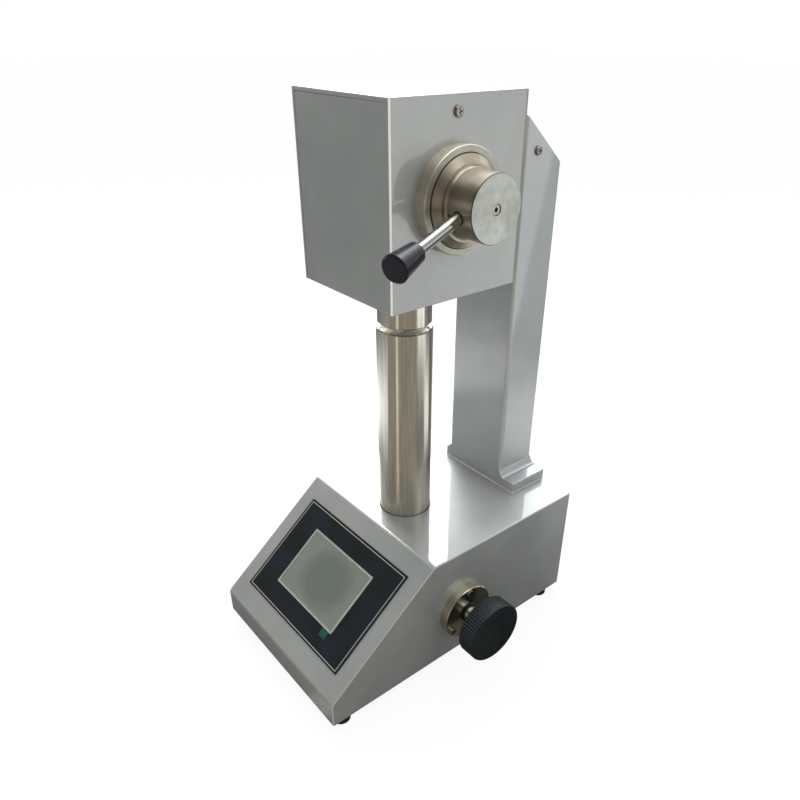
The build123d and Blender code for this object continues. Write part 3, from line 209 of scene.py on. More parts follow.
def endFace(tree, coords, look, along, away, reach, colour, rough):
    # the end face has a colour and roughness of its own, unlike the sides; a thin dark line may be painted
    # round its rim
    face = addNode(tree, "ShaderNodeMapRange", {"Value": along, "From Min": reach - look["faceBand"][0],
                                               "From Max": reach - look["faceBand"][1]}).outputs["Result"]
    faceColour = mottle(tree, coords, look["faceLow"], look["faceHigh"], look["stain"])
    both = addNode(tree, "ShaderNodeMix", {"Factor": face, "A": colour, "B": faceColour}, data_type="RGBA")
    rough = addNode(tree, "ShaderNodeMix", {"Factor": face, "A": rough, "B": look["faceRough"]})
    # a thin dark line is painted round the end face's rim, just inside the given radius
    if look["lineRadius"] is not None:
        outside = addNode(tree, "ShaderNodeMapRange", {
            "Value": away, "From Min": look["lineRadius"] - look["lineFade"], "From Max": look["lineRadius"]})
        near = addNode(tree, "ShaderNodeMapRange", {
            "Value": along, "From Min": reach - look["lineBand"][0], "From Max": reach - look["lineBand"][1]})
        line = addNode(tree, "ShaderNodeMath", {0: outside.outputs["Result"], 1: near.outputs["Result"]},
                       operation="MULTIPLY")
        both = addNode(tree, "ShaderNodeMix", {"Factor": line.outputs["Value"], "A": both.outputs["Result"],
                                              "B": linear(look["line"])}, data_type="RGBA")
    return both.outputs["Result"], rough.outputs["Result"]


def turnedSteel(name, centre, axis, look, faceAt=None):
    # fine rings stretch highlights across themselves, and stains are drawn along the axis
    finish, tree, shader, coords = newFinish(name, {
        "Metallic": 1.0, "Anisotropic": look["anisotropy"], "Anisotropic Rotation": look["twist"]})
    stretch = [look["drawn"] if side == axis else 1 for side in "XYZ"]
    pulled = addNode(tree, "ShaderNodeVectorMath", {0: coords, 1: stretch}, operation="MULTIPLY")
    colour = mottle(tree, pulled.outputs["Vector"], look["low"], look["high"], look["stain"])
    along, away = lathePlace(tree, coords, centre, axis)
    # a pattern of length and distance alone, so that nothing changes round the axis
    place = addNode(tree, "ShaderNodeCombineXYZ", {"X": along, "Y": away})
    marks = addNode(tree, "ShaderNodeTexNoise", {"Vector": place.outputs["Vector"],
                                                "Scale": 1 / look["pitch"], "Detail": 2.0})
    rough = driftRoughness(tree, shader, marks, *look["roughness"])
    if faceAt is not None:
        reach = faceAt - centre["XYZ".index(axis)]
        colour, rough = endFace(tree, coords, look, along, away, reach, colour, rough)
        tree.links.new(rough, shader.inputs["Roughness"])
    tree.links.new(colour, shader.inputs["Base Color"])
    bump = addNode(tree, "ShaderNodeBump", {"Height": marks.outputs["Fac"], "Distance": look["depth"]})
    tree.links.new(bump.outputs["Normal"], shader.inputs["Normal"])
    tangent = addNode(tree, "ShaderNodeTangent", direction_type="RADIAL", axis=axis)
    tree.links.new(tangent.outputs["Tangent"], shader.inputs["Tangent"])
    return finish


# finishes with a drifting colour (hex, hex, patch size) and a skin (grain size, depth); the grains of 0.4 to
# 0.6 mm are finer on the real thing and are drawn coarser, to show
plainLooks = {
    # surface ground tool steel: a dull even mirror
    "groundSteel": {"tint": ("#B9B7B2", "#C6C4BF", 9 * mm), "skin": (0.4 * mm, 0.004 * mm),
                    "shader": {"Metallic": 1.0, "Roughness": 0.28}},
    # polished chrome plate: a sharp mirror
    "polishedChrome": {"tint": ("#C0C3C4", "#CCCECF", 8 * mm), "skin": (3 * mm, 0.001 * mm),
                       "shader": {"Metallic": 1.0, "Roughness": 0.07}},
    # zinc plated sheet steel: grey and cloudy, with a soft sheen
    "zincPlatedSheet": {"tint": ("#A5A8A6", "#B4B7B5", 7 * mm), "skin": (1.2 * mm, 0.006 * mm),
                        "shader": {"Metallic": 0.9, "Roughness": 0.38}},
    # rolled and headed screw steel: small warm glints
    "plainScrewSteel": {"tint": ("#8D8A84", "#A39F97", 2 * mm), "skin": (0.5 * mm, 0.004 * mm),
                        "shader": {"Metallic": 1.0, "Roughness": 0.32}},
    # dark nickel plated screws: brownish glints
    "darkNickelScrew": {"tint": ("#77716B", "#9A948C", 1.5 * mm), "skin": (0.5 * mm, 0.005 * mm),
                        "shader": {"Metallic": 1.0, "Roughness": 0.24}},
    # moulded ABS, black: a matt skin with a faint sheen
    "mouldedBlackAbs": {"tint": ("#10171A", "#161E21", 11 * mm), "skin": (0.6 * mm, 0.015 * mm),
                        "shader": {"Roughness": 0.42, "Specular IOR Level": 0.3}},
    # the same ABS on the knob's ribs, rubbed shinier by hands
    "ribbedBlackAbs": {"tint": ("#12181C", "#192026", 9 * mm), "skin": (0.5 * mm, 0.01 * mm),
                       "shader": {"Roughness": 0.30}},
    # polished phenolic, black: one soft long highlight
    "polishedPhenolic": {"tint": ("#0E101A", "#141622", 9 * mm), "skin": (1.5 * mm, 0.003 * mm),
                         "shader": {"Roughness": 0.26, "Specular IOR Level": 0.4}},
    # moulded grey plastic of the screen's bezel: pale and satin
    "greyBezelMoulding": {"tint": ("#8F938C", "#9DA199", 12 * mm), "skin": (0.8 * mm, 0.006 * mm),
                          "shader": {"Roughness": 0.35}},
    # green polyester pull tab: glossy film
    "greenPolyesterFilm": {"tint": ("#0B4234", "#104F3F", 5 * mm), "skin": (1.5 * mm, 0.004 * mm),
                           "shader": {"Roughness": 0.3, "Coat Weight": 0.4, "Coat Roughness": 0.1}},
    # moulded rubber feet: nearly black and dull
    "mouldedRubber": {"tint": ("#161718", "#1E1F20", 6 * mm), "skin": (0.5 * mm, 0.02 * mm),
                      "shader": {"Roughness": 0.7}},
    # oil soaked sintered bronze: dark brown metal
    "oiledBronze": {"tint": ("#57493A", "#645544", 7 * mm), "skin": (0.5 * mm, 0.004 * mm),
                    "shader": {"Metallic": 1.0, "Roughness": 0.3}},
    # milled aluminium: pale satin metal
    "milledAluminium": {"tint": ("#BDBFC0", "#C9CBCC", 8 * mm), "skin": (0.5 * mm, 0.006 * mm),
                        "shader": {"Metallic": 1.0, "Roughness": 0.34}},
    # cast iron of the load weight: dark and grainy
    "castIron": {"tint": ("#4A4A4A", "#5C5A58", 6 * mm), "skin": (1.0 * mm, 0.03 * mm),
                 "shader": {"Metallic": 0.9, "Roughness": 0.5}},
    # solder mask lacquer of the circuit board: deep green gloss
    "solderMask": {"tint": ("#0F3D24", "#14492C", 8 * mm), "skin": (0.6 * mm, 0.006 * mm),
                   "shader": {"Roughness": 0.35}},
    # painted shade: near black for bottoms of gaps and holes, where no light gets out again
    "paintedShadeBlack": {"tint": ("#050606", "#090B0B", 3 * mm), "skin": (0.5 * mm, 0.004 * mm),
                        "shader": {"Roughness": 0.6}},
    # acrylic sealant under the lacquer, drawn paler than it: a pale soft line that is partly a painted
    # highlight on the bead's round top
    "paleSealantAndHighlight": {"tint": ("#B5B3A8", "#C6C4B9", 5 * mm), "skin": (1.2 * mm, 0.02 * mm),
                       "shader": {"Roughness": 0.4}},
}
plainDrift = {"less": 0.9, "more": 1.12, "grain": 0.3}    # shares of the roughness and of the patch size


def plainFinish(name, look):
    # a finish whose colour and roughness drift a little and whose surface has one grain
    finish, tree, shader, coords = newFinish(name, look["shader"])
    low, high, grain = look["tint"]
    tree.links.new(mottle(tree, coords, low, high, grain), shader.inputs["Base Color"])
    patches = addNode(tree, "ShaderNodeTexNoise", {
        "Vector": coords, "Scale": 1 / (grain * plainDrift["grain"]), "Detail": 4.0})
    rough = look["shader"]["Roughness"]
    driftRoughness(tree, shader, patches, rough * plainDrift["less"], rough * plainDrift["more"])
    size, depth = look["skin"]
    skin = addNode(tree, "ShaderNodeTexNoise", {"Vector": coords, "Scale": 1 / size, "Detail": 2.0})
    bump = addNode(tree, "ShaderNodeBump", {"Height": skin.outputs["Fac"], "Distance": depth})
    tree.links.new(bump.outputs["Normal"], shader.inputs["Normal"])
    return finish


def panelPlace(tree, coords, middle):
    # coordinates on the sloped panel measured from a point that far up it: X across, Y up along it
    start = slope["lip"] + Vector((0.0, middle * math.cos(slopeAngle), middle * math.sin(slopeAngle)))
    moved = addNode(tree, "ShaderNodeVectorMath", {0: coords, 1: start}, operation="SUBTRACT")
    return addNode(tree, "ShaderNodeVectorRotate", {"Vector": moved.outputs["Vector"], "Angle": -slopeAngle},
                   rotation_type="X_AXIS").outputs["Vector"]


def frameDistance(tree, place, halfWidth, halfHeight):
    # signed distance from a rectangle's outline, in metres, square at the corners
    size = addNode(tree, "ShaderNodeVectorMath", {0: place}, operation="ABSOLUTE")
    past = addNode(tree, "ShaderNodeVectorMath", {
        0: size.outputs["Vector"], 1: (halfWidth, halfHeight, 0.0)}, operation="SUBTRACT")
    split = addNode(tree, "ShaderNodeSeparateXYZ", {"Vector": past.outputs["Vector"]})
    return addNode(tree, "ShaderNodeMath", {0: split.outputs["X"], 1: split.outputs["Y"]},
                   operation="MAXIMUM").outputs["Value"]


overlayLook = {"middle": 85.6 * mm, "halfWidth": 87.0 * mm, "halfHeight": 59.1 * mm, "line": 0.32 * mm,
               "lineEdge": 1.4, "ink": "#0F1416", "glow": "#141C27", "cloud": 38 * mm, "print": "#A9A89D",
               "shader": {"Roughness": 0.30, "Specular IOR Level": 0.45}}


def printedOverlay():
    # back printed polyester: black with one fine silver line round it; the ink leans to blue in broad patches
    look = overlayLook
    finish, tree, shader, coords = newFinish("printedOverlayFilm", look["shader"])
    ink = mottle(tree, coords, look["ink"], look["glow"], look["cloud"], 1.0)
    level = panelPlace(tree, coords, look["middle"])
    gap = frameDistance(tree, level, look["halfWidth"], look["halfHeight"])
    off = addNode(tree, "ShaderNodeMath", {0: gap}, operation="ABSOLUTE")
    line = addNode(tree, "ShaderNodeMapRange", {
        "Value": off.outputs["Value"], "From Min": look["line"], "From Max": look["line"] * look["lineEdge"],
        "To Min": 1.0, "To Max": 0.0})
    both = addNode(tree, "ShaderNodeMix", {"Factor": line.outputs["Result"], "A": ink,
                                          "B": linear(look["print"])}, data_type="RGBA")
    tree.links.new(both.outputs["Result"], shader.inputs["Base Color"])
    return finish


screenLook = {"middle": 87.0 * mm, "wetX": 3.0 * mm, "halfWidth": 37 * mm, "halfHeight": 31 * mm,
              "wet": "#616864", "lifted": "#73776F", "wobble": 16 * mm, "wobbleShare": 0.4,
              "ring": 1.9 * mm, "ringShare": 0.035, "lift": (0.9, 1.45),
              "shader": {"Roughness": 0.30, "Specular IOR Level": 0.5, "Coat Weight": 0.3,
                         "Coat Roughness": 0.12}}


def filmedScreen():
    # dark display glass under its matte protective film: darker and greener in the round area where the film
    # lies tight on the glass, with faint rings where it starts to lift
    look = screenLook
    finish, tree, shader, coords = newFinish("filmOnDisplayGlass", look["shader"])
    level = panelPlace(tree, coords, look["middle"])
    moved = addNode(tree, "ShaderNodeVectorMath", {0: level, 1: (look["wetX"], 0.0, 0.0)},
                    operation="SUBTRACT")
    scaled = addNode(tree, "ShaderNodeVectorMath", {
        0: moved.outputs["Vector"], 1: (1 / look["halfWidth"], 1 / look["halfHeight"], 0.0)},
        operation="MULTIPLY")
    reach = addNode(tree, "ShaderNodeVectorMath", {0: scaled.outputs["Vector"]}, operation="LENGTH")
    wobble = addNode(tree, "ShaderNodeTexNoise", {"Vector": coords, "Scale": 1 / look["wobble"],
                                                 "Detail": 2.0})
    edge = addNode(tree, "ShaderNodeMath", {0: wobble.outputs["Fac"], 1: look["wobbleShare"],
                                           2: reach.outputs["Value"]}, operation="MULTIPLY_ADD")
    wave = addNode(tree, "ShaderNodeMath", {0: edge.outputs["Value"], 1: look["halfWidth"] / look["ring"]},
                   operation="MULTIPLY")
    rings = addNode(tree, "ShaderNodeMath", {0: wave.outputs["Value"]}, operation="SINE")
    ripple = addNode(tree, "ShaderNodeMath", {
        0: rings.outputs["Value"], 1: look["ringShare"], 2: edge.outputs["Value"]}, operation="MULTIPLY_ADD")
    mask = addNode(tree, "ShaderNodeMapRange", {
        "Value": ripple.outputs["Value"], "From Min": look["lift"][0], "From Max": look["lift"][1]},
        interpolation_type="SMOOTHSTEP")
    both = addNode(tree, "ShaderNodeMix", {"Factor": mask.outputs["Result"], "A": linear(look["wet"]),
                                          "B": linear(look["lifted"])}, data_type="RGBA")
    tree.links.new(both.outputs["Result"], shader.inputs["Base Color"])
    return finish


print("camera")
shot = {"place": (0.52017, -0.40754, 0.61444), "azimuth": 50.023, "elevation": 31.667, "roll": 0.487,
        "lens": 31.734, "sensor": 36.0, "shiftX": -0.0222, "shiftY": 0.0671, "nearest": 0.01}


def makeCamera():
    # the camera as it was fitted to the photograph
    side, rise, roll = (math.radians(shot[key]) for key in ("azimuth", "elevation", "roll"))
    back = Vector((math.sin(side) * math.cos(rise), -math.cos(side) * math.cos(rise), math.sin(rise)))
    right = Vector((0, 0, 1)).cross(back).normalized()
    up = back.cross(right)
    right, up = right * math.cos(roll) + up * math.sin(roll), up * math.cos(roll) - right * math.sin(roll)
    camera = bpy.data.objects.new("camera", bpy.data.cameras.new("camera"))
    bpy.context.collection.objects.link(camera)
    turn = Matrix((right, up, back)).transposed().to_4x4()
    camera.matrix_world = Matrix.Translation(shot["place"]) @ turn
    camera.data.sensor_width = shot["sensor"]
    camera.data.lens = shot["lens"]
    camera.data.shift_x = shot["shiftX"]
    camera.data.shift_y = shot["shiftY"]
    camera.data.clip_start = shot["nearest"]
    bpy.context.scene.camera = camera


makeCamera()

print("finishes")
silver = silverLacquer("silverFlakeLacquer", paintLook)
silverHead = silverLacquer("silverFlakeLacquerHead", headPaint)
silverColumn = silverLacquer("silverFlakeLacquerColumn", columnPaint)
steelUpright = turnedSteel("turnedNickelUpright", stageAxis, "Z", postLook)
steelRing = turnedSteel("turnedNickelRing", drumAxis, "X", ringLook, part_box("drum_ring")[1].x)
steelDrum = turnedSteel("turnedNickelDrum", drumAxis, "X", drumLook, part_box("load_drum")[1].x)
steelFlange = turnedSteel("turnedNickelFlange", knobAxis, "X", flangeLook)
plain = {name: plainFinish(name, look) for name, look in plainLooks.items()}
shadeBlack, sealantAndHighlight = plain["paintedShadeBlack"], plain["paleSealantAndHighlight"]

# each material slot has a finish, and some nodes have one of their own
slotFinish = {
    "silver_paint": silver, "zinc_sheet": plain["zincPlatedSheet"], "ground_steel": plain["groundSteel"],
    "bright_chrome": plain["polishedChrome"], "screw_steel": plain["plainScrewSteel"],
    "black_screw": plain["darkNickelScrew"], "black_plastic": plain["mouldedBlackAbs"],
    "black_gloss": plain["polishedPhenolic"], "overlay_black": printedOverlay(),
    "bezel_plastic": plain["greyBezelMoulding"], "screen_glass": filmedScreen(),
    "film_green": plain["greenPolyesterFilm"], "foot_rubber": plain["mouldedRubber"],
    "bush_bronze": plain["oiledBronze"], "frame_aluminium": plain["milledAluminium"],
    "weight_iron": plain["castIron"], "board_green": plain["solderMask"],
}
nodeFinish = {"head_cover": silverHead, "column_shell": silverColumn, "column_foot": silverColumn,
              "column_welds": silverColumn, "stage_post": steelUpright, "presser_collar": steelUpright,
              "drum_ring": steelRing, "load_drum": steelDrum, "shaft_flange": steelFlange}
for part in frame["record"]["subparts"]:
    finish = nodeFinish.get(part["node"]) or slotFinish[part["material_slot"]]
    for place in nodes[part["node"]].material_slots:
        place.material = finish

print("pieces")


def treeInput(tree, name, kind, value):
    # a named input of a node tree; returns its identifier
    socket = tree.interface.new_socket(name, in_out="INPUT", socket_type=kind)
    if value is not None:
        socket.default_value = value
    return socket.identifier


def grown(name, source, tree, settings):
    # runs a tree on an object and returns the result as a plain mesh object
    carrier = bpy.data.objects.new(name + "Carrier", source)
    bpy.context.collection.objects.link(carrier)
    modifier = carrier.modifiers.new("tree", "NODES")
    modifier.node_group = tree
    for key, value in settings.items():
        modifier[key] = value
    evaluated = carrier.evaluated_get(bpy.context.evaluated_depsgraph_get())
    mesh = bpy.data.meshes.new_from_object(evaluated)
    bpy.data.objects.remove(carrier)
    piece = bpy.data.objects.new(name, mesh)
    bpy.context.collection.objects.link(piece)
    return piece


def finishTree(tree, geometry, finish):
    # the end that both trees share: real geometry in one material
    real = addNode(tree, "GeometryNodeRealizeInstances", {"Geometry": geometry})
    done = addNode(tree, "GeometryNodeSetMaterial", {"Geometry": real.outputs["Geometry"],
                                                    "Material": finish})
    addNode(tree, "NodeGroupOutput", {"Geometry": done.outputs["Geometry"]})


def latheMesh(name, profile, centre, steps, finish):
    # closed solid of revolution on X: its (x, radius) points start and end on the axis, or else form a loop
    shape = bmesh.new()
    rings = []
    for x, radius in profile:
        turns = range(steps if radius > 0 else 1)
        rings.append([shape.verts.new((x, centre.y + radius * math.cos(2 * math.pi * i / steps),
                                       centre.z + radius * math.sin(2 * math.pi * i / steps)))
                      for i in turns])
    pairs = list(zip(rings, rings[1:]))
    if profile[0][1] > 0:
        pairs.append((rings[-1], rings[0]))
    for one, two in pairs:
        for i in range(steps):
            j = (i + 1) % steps
            corners = [one[i % len(one)], one[j % len(one)], two[j % len(two)], two[i % len(two)]]
            face = list(dict.fromkeys(corners))
            if len(face) > 2:
                shape.faces.new(face)
    bmesh.ops.recalc_face_normals(shape, faces=shape.faces)
    mesh = bpy.data.meshes.new(name)
    shape.to_mesh(mesh)
    shape.free()
    mesh.materials.append(finish)
    piece = bpy.data.objects.new(name, mesh)
    bpy.context.collection.objects.link(piece)
    return piece


def smoothSides(piece, degrees=35):
    # shades a lathe piece smooth except across its sharp corners
    shape = bmesh.new()
    shape.from_mesh(piece.data)
    for face in shape.faces:
        face.smooth = True
    for edge in shape.edges:
        edge.smooth = edge.calc_face_angle(0) < math.radians(degrees)
    shape.to_mesh(piece.data)
    shape.free()


def knurlTree():
    # straight knurling: ribs side by side round a wheel on X, at that radius
    tree = bpy.data.node_groups.new("straightKnurling", "GeometryNodeTree")
    ids = {"Ribs": treeInput(tree, "Ribs", "NodeSocketInt", 100),
           "Wheel Radius": treeInput(tree, "Wheel Radius", "NodeSocketFloat", 0.03),
           "Rib Radius": treeInput(tree, "Rib Radius", "NodeSocketFloat", 0.001),
           "Rib Length": treeInput(tree, "Rib Length", "NodeSocketFloat", 0.02),
           "Middle": treeInput(tree, "Middle", "NodeSocketVector", (0, 0, 0)),
           "Finish": treeInput(tree, "Finish", "NodeSocketMaterial", None)}
    tree.interface.new_socket("Geometry", in_out="OUTPUT", socket_type="NodeSocketGeometry")
    given = addNode(tree, "NodeGroupInput").outputs
    wheel = addNode(tree, "GeometryNodeMeshCircle", {"Vertices": given["Ribs"],
                                                    "Radius": given["Wheel Radius"]})
    rib = addNode(tree, "GeometryNodeMeshCylinder", {"Vertices": 8, "Radius": given["Rib Radius"],
                                                    "Depth": given["Rib Length"]})
    placed = addNode(tree, "GeometryNodeInstanceOnPoints", {"Points": wheel.outputs["Mesh"],
                                                          "Instance": rib.outputs["Mesh"]})
    turned = addNode(tree, "GeometryNodeTransform", {
        "Geometry": placed.outputs["Instances"], "Rotation": (0, math.radians(90), 0),
        "Translation": given["Middle"]})
    finishTree(tree, turned.outputs["Geometry"], given["Finish"])
    return tree, ids


# ribSet, a little over 1, keeps the ribs just inside the outline of the CAD knob
knobLook = {"steps": 96, "ribs": 64, "rib": 1.15 * mm, "ribSet": 1.02, "proud": 0.55 * mm, "edge": 0.9 * mm,
            "edgeSoft": 0.3, "dish": 24 * mm, "dishWall": 2 * mm, "dishDepth": 5 * mm, "faceRim": 3.2 * mm,
            "faceSink": 0.05 * mm}


def makeKnob():
    # moulded wheel: dished back, rounded rims, ribs all round
    look = knobLook
    lo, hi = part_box("hand_knob")
    radius = (hi.z - lo.z) / 2
    core, edge = radius - look["proud"], look["edge"]
    soft = look["edgeSoft"] * edge
    floor, face = lo.x + look["dishDepth"], hi.x - look["faceSink"]
    profile = [(floor, 0), (floor, look["dish"] - look["dishWall"]), (lo.x, look["dish"]),
               (lo.x, core - edge), (lo.x + soft, core - soft), (lo.x + edge, core),
               (hi.x - edge, core), (hi.x - soft, core - soft), (hi.x - 2 * look["faceSink"], core - edge),
               (face, core - look["faceRim"]), (face, 0)]
    wheel = latheMesh("knobWheel", profile, knobAxis, look["steps"], plain["mouldedBlackAbs"])
    smoothSides(wheel)
    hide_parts("hand_knob")
    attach(wheel, "lift_knob")
    tree, ids = knurlTree()
    ribs = grown("knobRibs", bpy.data.meshes.new("ribSeed"), tree, {
        ids["Ribs"]: look["ribs"], ids["Wheel Radius"]: radius - look["rib"] * look["ribSet"],
        ids["Rib Radius"]: look["rib"], ids["Rib Length"]: hi.x - lo.x - 2 * edge,
        ids["Middle"]: tuple((lo + hi) / 2), ids["Finish"]: plain["ribbedBlackAbs"]})
    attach(ribs, "lift_knob")


dimpleLook = {"radius": 2.3 * mm, "y": -18.9 * mm, "z": 62.1 * mm, "depth": 0.8 * mm, "sink": 0.004 * mm,
              "steps": 24}


def makeDimple():
    # painted shade: a black disc set into the knob's face, off its middle, where a small dimple looks dark
    look = dimpleLook
    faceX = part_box("hand_knob")[1].x
    bottom, top = faceX - look["depth"], faceX - look["sink"]
    profile = [(bottom, 0), (bottom, look["radius"]), (top, look["radius"]), (top, 0)]
    dot = latheMesh("knobDimple", profile, Vector((0, look["y"], look["z"])), look["steps"], shadeBlack)
    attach(dot, "lift_knob")


def beadTree():
    # a round bead along the curve it gets
    tree = bpy.data.node_groups.new("beadAlongPath", "GeometryNodeTree")
    treeInput(tree, "Geometry", "NodeSocketGeometry", None)
    ids = {"Bead Radius": treeInput(tree, "Bead Radius", "NodeSocketFloat", 0.001),
           "Finish": treeInput(tree, "Finish", "NodeSocketMaterial", None)}
    tree.interface.new_socket("Geometry", in_out="OUTPUT", socket_type="NodeSocketGeometry")
    given = addNode(tree, "NodeGroupInput").outputs
    section = addNode(tree, "GeometryNodeCurvePrimitiveCircle", {"Resolution": 10,
                                                                "Radius": given["Bead Radius"]})
    tube = addNode(tree, "GeometryNodeCurveToMesh", {
        "Curve": given["Geometry"], "Profile Curve": section.outputs["Curve"], "Fill Caps": True})
    finishTree(tree, tube.outputs["Mesh"], given["Finish"])
    return tree, ids


roundBead, beadIds = beadTree()


def bead(name, points, radius, finish, loop=False):
    # a round bead through those points; each piece calls it with the radius and finish of its own
    path = bpy.data.curves.new(name + "Path", "CURVE")
    path.dimensions = "3D"
    line = path.splines.new("POLY")
    line.use_cyclic_u = loop
    line.points.add(len(points) - 1)
    for spot, point in zip(line.points, points):
        spot.co = (*point, 1.0)
    piece = grown(name, path, roundBead, {beadIds["Bead Radius"]: radius, beadIds["Finish"]: finish})
    for face in piece.data.polygons:
        face.use_smooth = True
    return piece


footBeadLook = {"radius": 0.95 * mm, "out": 0.25 * mm, "rise": 0.35 * mm, "back": 2 * mm, "cornerX": 0.9 * mm,
                "cornerY": 1.2 * mm}


def makeFootBead():
    # a sealant bead along the bottom edge of the column's foot plate, on three sides; its pale colour is
    # partly a painted highlight
    look = footBeadLook
    lo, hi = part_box("column_foot")
    left, right, front = lo.x - look["out"], hi.x + look["out"], lo.y - look["out"]
    back, corner, z = hi.y - look["back"], front + look["cornerY"], lo.z + look["rise"]
    points = [(left, back, z), (left, corner, z), (lo.x + look["cornerX"], front, z),
              (hi.x - look["cornerX"], front, z), (right, corner, z), (right, back, z)]
    piece = bead("footBead", points, look["radius"], sealantAndHighlight)
    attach(piece, "instrument")


weldRimLook = {"radius": 0.6 * mm, "out": 0.10 * mm, "tail": 1.0 * mm, "step": 9}


def makeWeldRim():
    # painted highlight: a pale bead along the rounded front end of the weld beside the column
    look = weldRimLook
    foot, shell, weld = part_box("column_foot"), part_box("column_shell"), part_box("column_welds")
    corner, top, y = shell[1].x, foot[1].z, foot[0].y - look["out"]
    turn = min(weld[1].x - corner, weld[1].z - top)
    arc = [(corner + turn * (1 - math.cos(angle)), y, top + turn * (1 - math.sin(angle)))
           for angle in (math.radians(degrees) for degrees in range(0, 91, look["step"]))]
    piece = bead("weldRim", [(arc[0][0], y, arc[0][2] + look["tail"])] + arc, look["radius"], sealantAndHighlight)
    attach(piece, "instrument")


# the rod's line as in the CAD part: from the drum's axis at x = start, leaning tilt degrees to +x and
# pointing turn degrees round the axis, from +y to +z
rodHoleLook = {"start": 93.0 * mm, "tilt": 17.0, "turn": 192.1, "rod": 5.0 * mm, "drum": 27.8 * mm,
               "line": 0.5 * mm, "out": 0.6, "points": 40}


def makeRodHoleRim():
    # painted shade: a dark bead round the rod where it enters the drum, a circle round the rod laid on the
    # drum's side
    look = rodHoleLook
    tilt, turn = math.radians(look["tilt"]), math.radians(look["turn"])
    way = Vector((math.sin(tilt), math.cos(tilt) * math.cos(turn), math.cos(tilt) * math.sin(turn)))
    start = Vector((look["start"], drumAxis.y, drumAxis.z))
    across = way.cross(Vector((1, 0, 0))).normalized()
    over = way.cross(across)
    wayFlat = Vector((0, way.y, way.z))
    reach = look["rod"] + look["out"] * look["line"]
    points = []
    for i in range(look["points"]):
        angle = 2 * math.pi * i / look["points"]
        offset = (across * math.cos(angle) + over * math.sin(angle)) * reach
        # the line along the rod meets the drum's side where a quadratic of its length is zero
        flat = Vector((0, offset.y, offset.z))
        square, half, rest = wayFlat.dot(wayFlat), wayFlat.dot(flat), flat.dot(flat) - look["drum"] ** 2
        length = (-half + math.sqrt(half * half - square * rest)) / square
        points.append(start + offset + way * length)
    piece = bead("rodHoleRim", points, look["line"], shadeBlack, True)
    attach(piece, "load_lever")


drumGapLook = {"disc": 37.8 * mm, "bore": 38.6 * mm, "clear": 0.08 * mm, "sink": 0.3 * mm, "depth": 3 * mm,
               "steps": 128}


def makeDrumGap():
    # painted shade: a black ring set into the gap between drum and ring, to darken it
    look = drumGapLook
    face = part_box("drum_ring")[1].x - look["sink"]
    inner, outer = look["disc"] + look["clear"], look["bore"] - look["clear"]
    bottom = face - look["depth"]
    gap = latheMesh("drumGap", [(bottom, inner), (face, inner), (face, outer), (bottom, outer)],
                    drumAxis, look["steps"], shadeBlack)
    smoothSides(gap)
    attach(gap, "instrument")


makeKnob()
makeDimple()
makeFootBead()
makeWeldRim()
makeRodHoleRim()
makeDrumGap()

print("floor and light")
# the room that mirrors see; a span says where one part of it gives way to the next, in degrees from the
# middle of the part (front, strip, window) or as y or z of the direction looked in (wall, overhead, high)
roomLook = {
    "diffuse": 0.85, "open": 0.9, "front": 0.36, "frontAt": 40.0, "frontSpan": (60.0, 67.0),
    "strip": 0.95, "stripAt": 21.0, "stripSpan": (3.0, 6.0),
    "window": 3.2, "windowAt": -152.0, "windowSpan": (27.0, 42.0),
    "behind": 0.55, "inFront": 0.22, "wallSpan": (0.0, 0.2),
    "overhead": 2.2, "overheadSpan": (0.79, 0.90), "highSpan": (0.16, 0.30),
    "warm": (1.0, 0.93, 0.80, 1.0), "plain": (0.99, 1.0, 0.985, 1.0), "cool": (0.90, 0.965, 1.0, 1.0)}


def compassNode(tree, vector):
    # compass angle of a direction or a floor point: 0 in front of the object, growing to its right
    split = addNode(tree, "ShaderNodeSeparateXYZ", {"Vector": vector})
    back = addNode(tree, "ShaderNodeMath", {0: split.outputs["Y"], 1: -1.0}, operation="MULTIPLY")
    return addNode(tree, "ShaderNodeMath", {0: split.outputs["X"], 1: back.outputs["Value"]},
                   operation="ARCTAN2").outputs["Value"]


def awayFrom(tree, compass, degrees):
    # unsigned angle from a compass direction, in radians
    turned = addNode(tree, "ShaderNodeMath", {0: compass, 1: math.radians(degrees)}, operation="SUBTRACT")
    wrapped = addNode(tree, "ShaderNodeMath", {0: turned.outputs["Value"], 1: -math.pi, 2: math.pi},
                      operation="WRAP")
    return addNode(tree, "ShaderNodeMath", {0: wrapped.outputs["Value"]},
                   operation="ABSOLUTE").outputs["Value"]


def sector(tree, compass, name):
    # share of a part of the room at a compass angle: 1 near its middle, 0 away from it
    start, end = roomLook[name + "Span"]
    return addNode(tree, "ShaderNodeMapRange", {
        "Value": awayFrom(tree, compass, roomLook[name + "At"]), "From Min": math.radians(start),
        "From Max": math.radians(end), "To Min": 1.0, "To Max": 0.0},
        interpolation_type="SMOOTHSTEP").outputs["Result"]


def roomTone(tree, compass, openTone):
    # brightness and colour low round the object: a dim warm part behind the camera with one lit strip
    dim = sector(tree, compass, "front")
    strip = addNode(tree, "ShaderNodeMix", {"Factor": sector(tree, compass, "strip"), "A": roomLook["front"],
                                           "B": roomLook["strip"]})
    tone = addNode(tree, "ShaderNodeMix", {"Factor": dim, "A": openTone, "B": strip.outputs["Result"]})
    hue = addNode(tree, "ShaderNodeMix", {"Factor": dim, "A": roomLook["plain"], "B": roomLook["warm"]},
                  data_type="RGBA")
    return tone.outputs["Result"], hue.outputs["Result"]


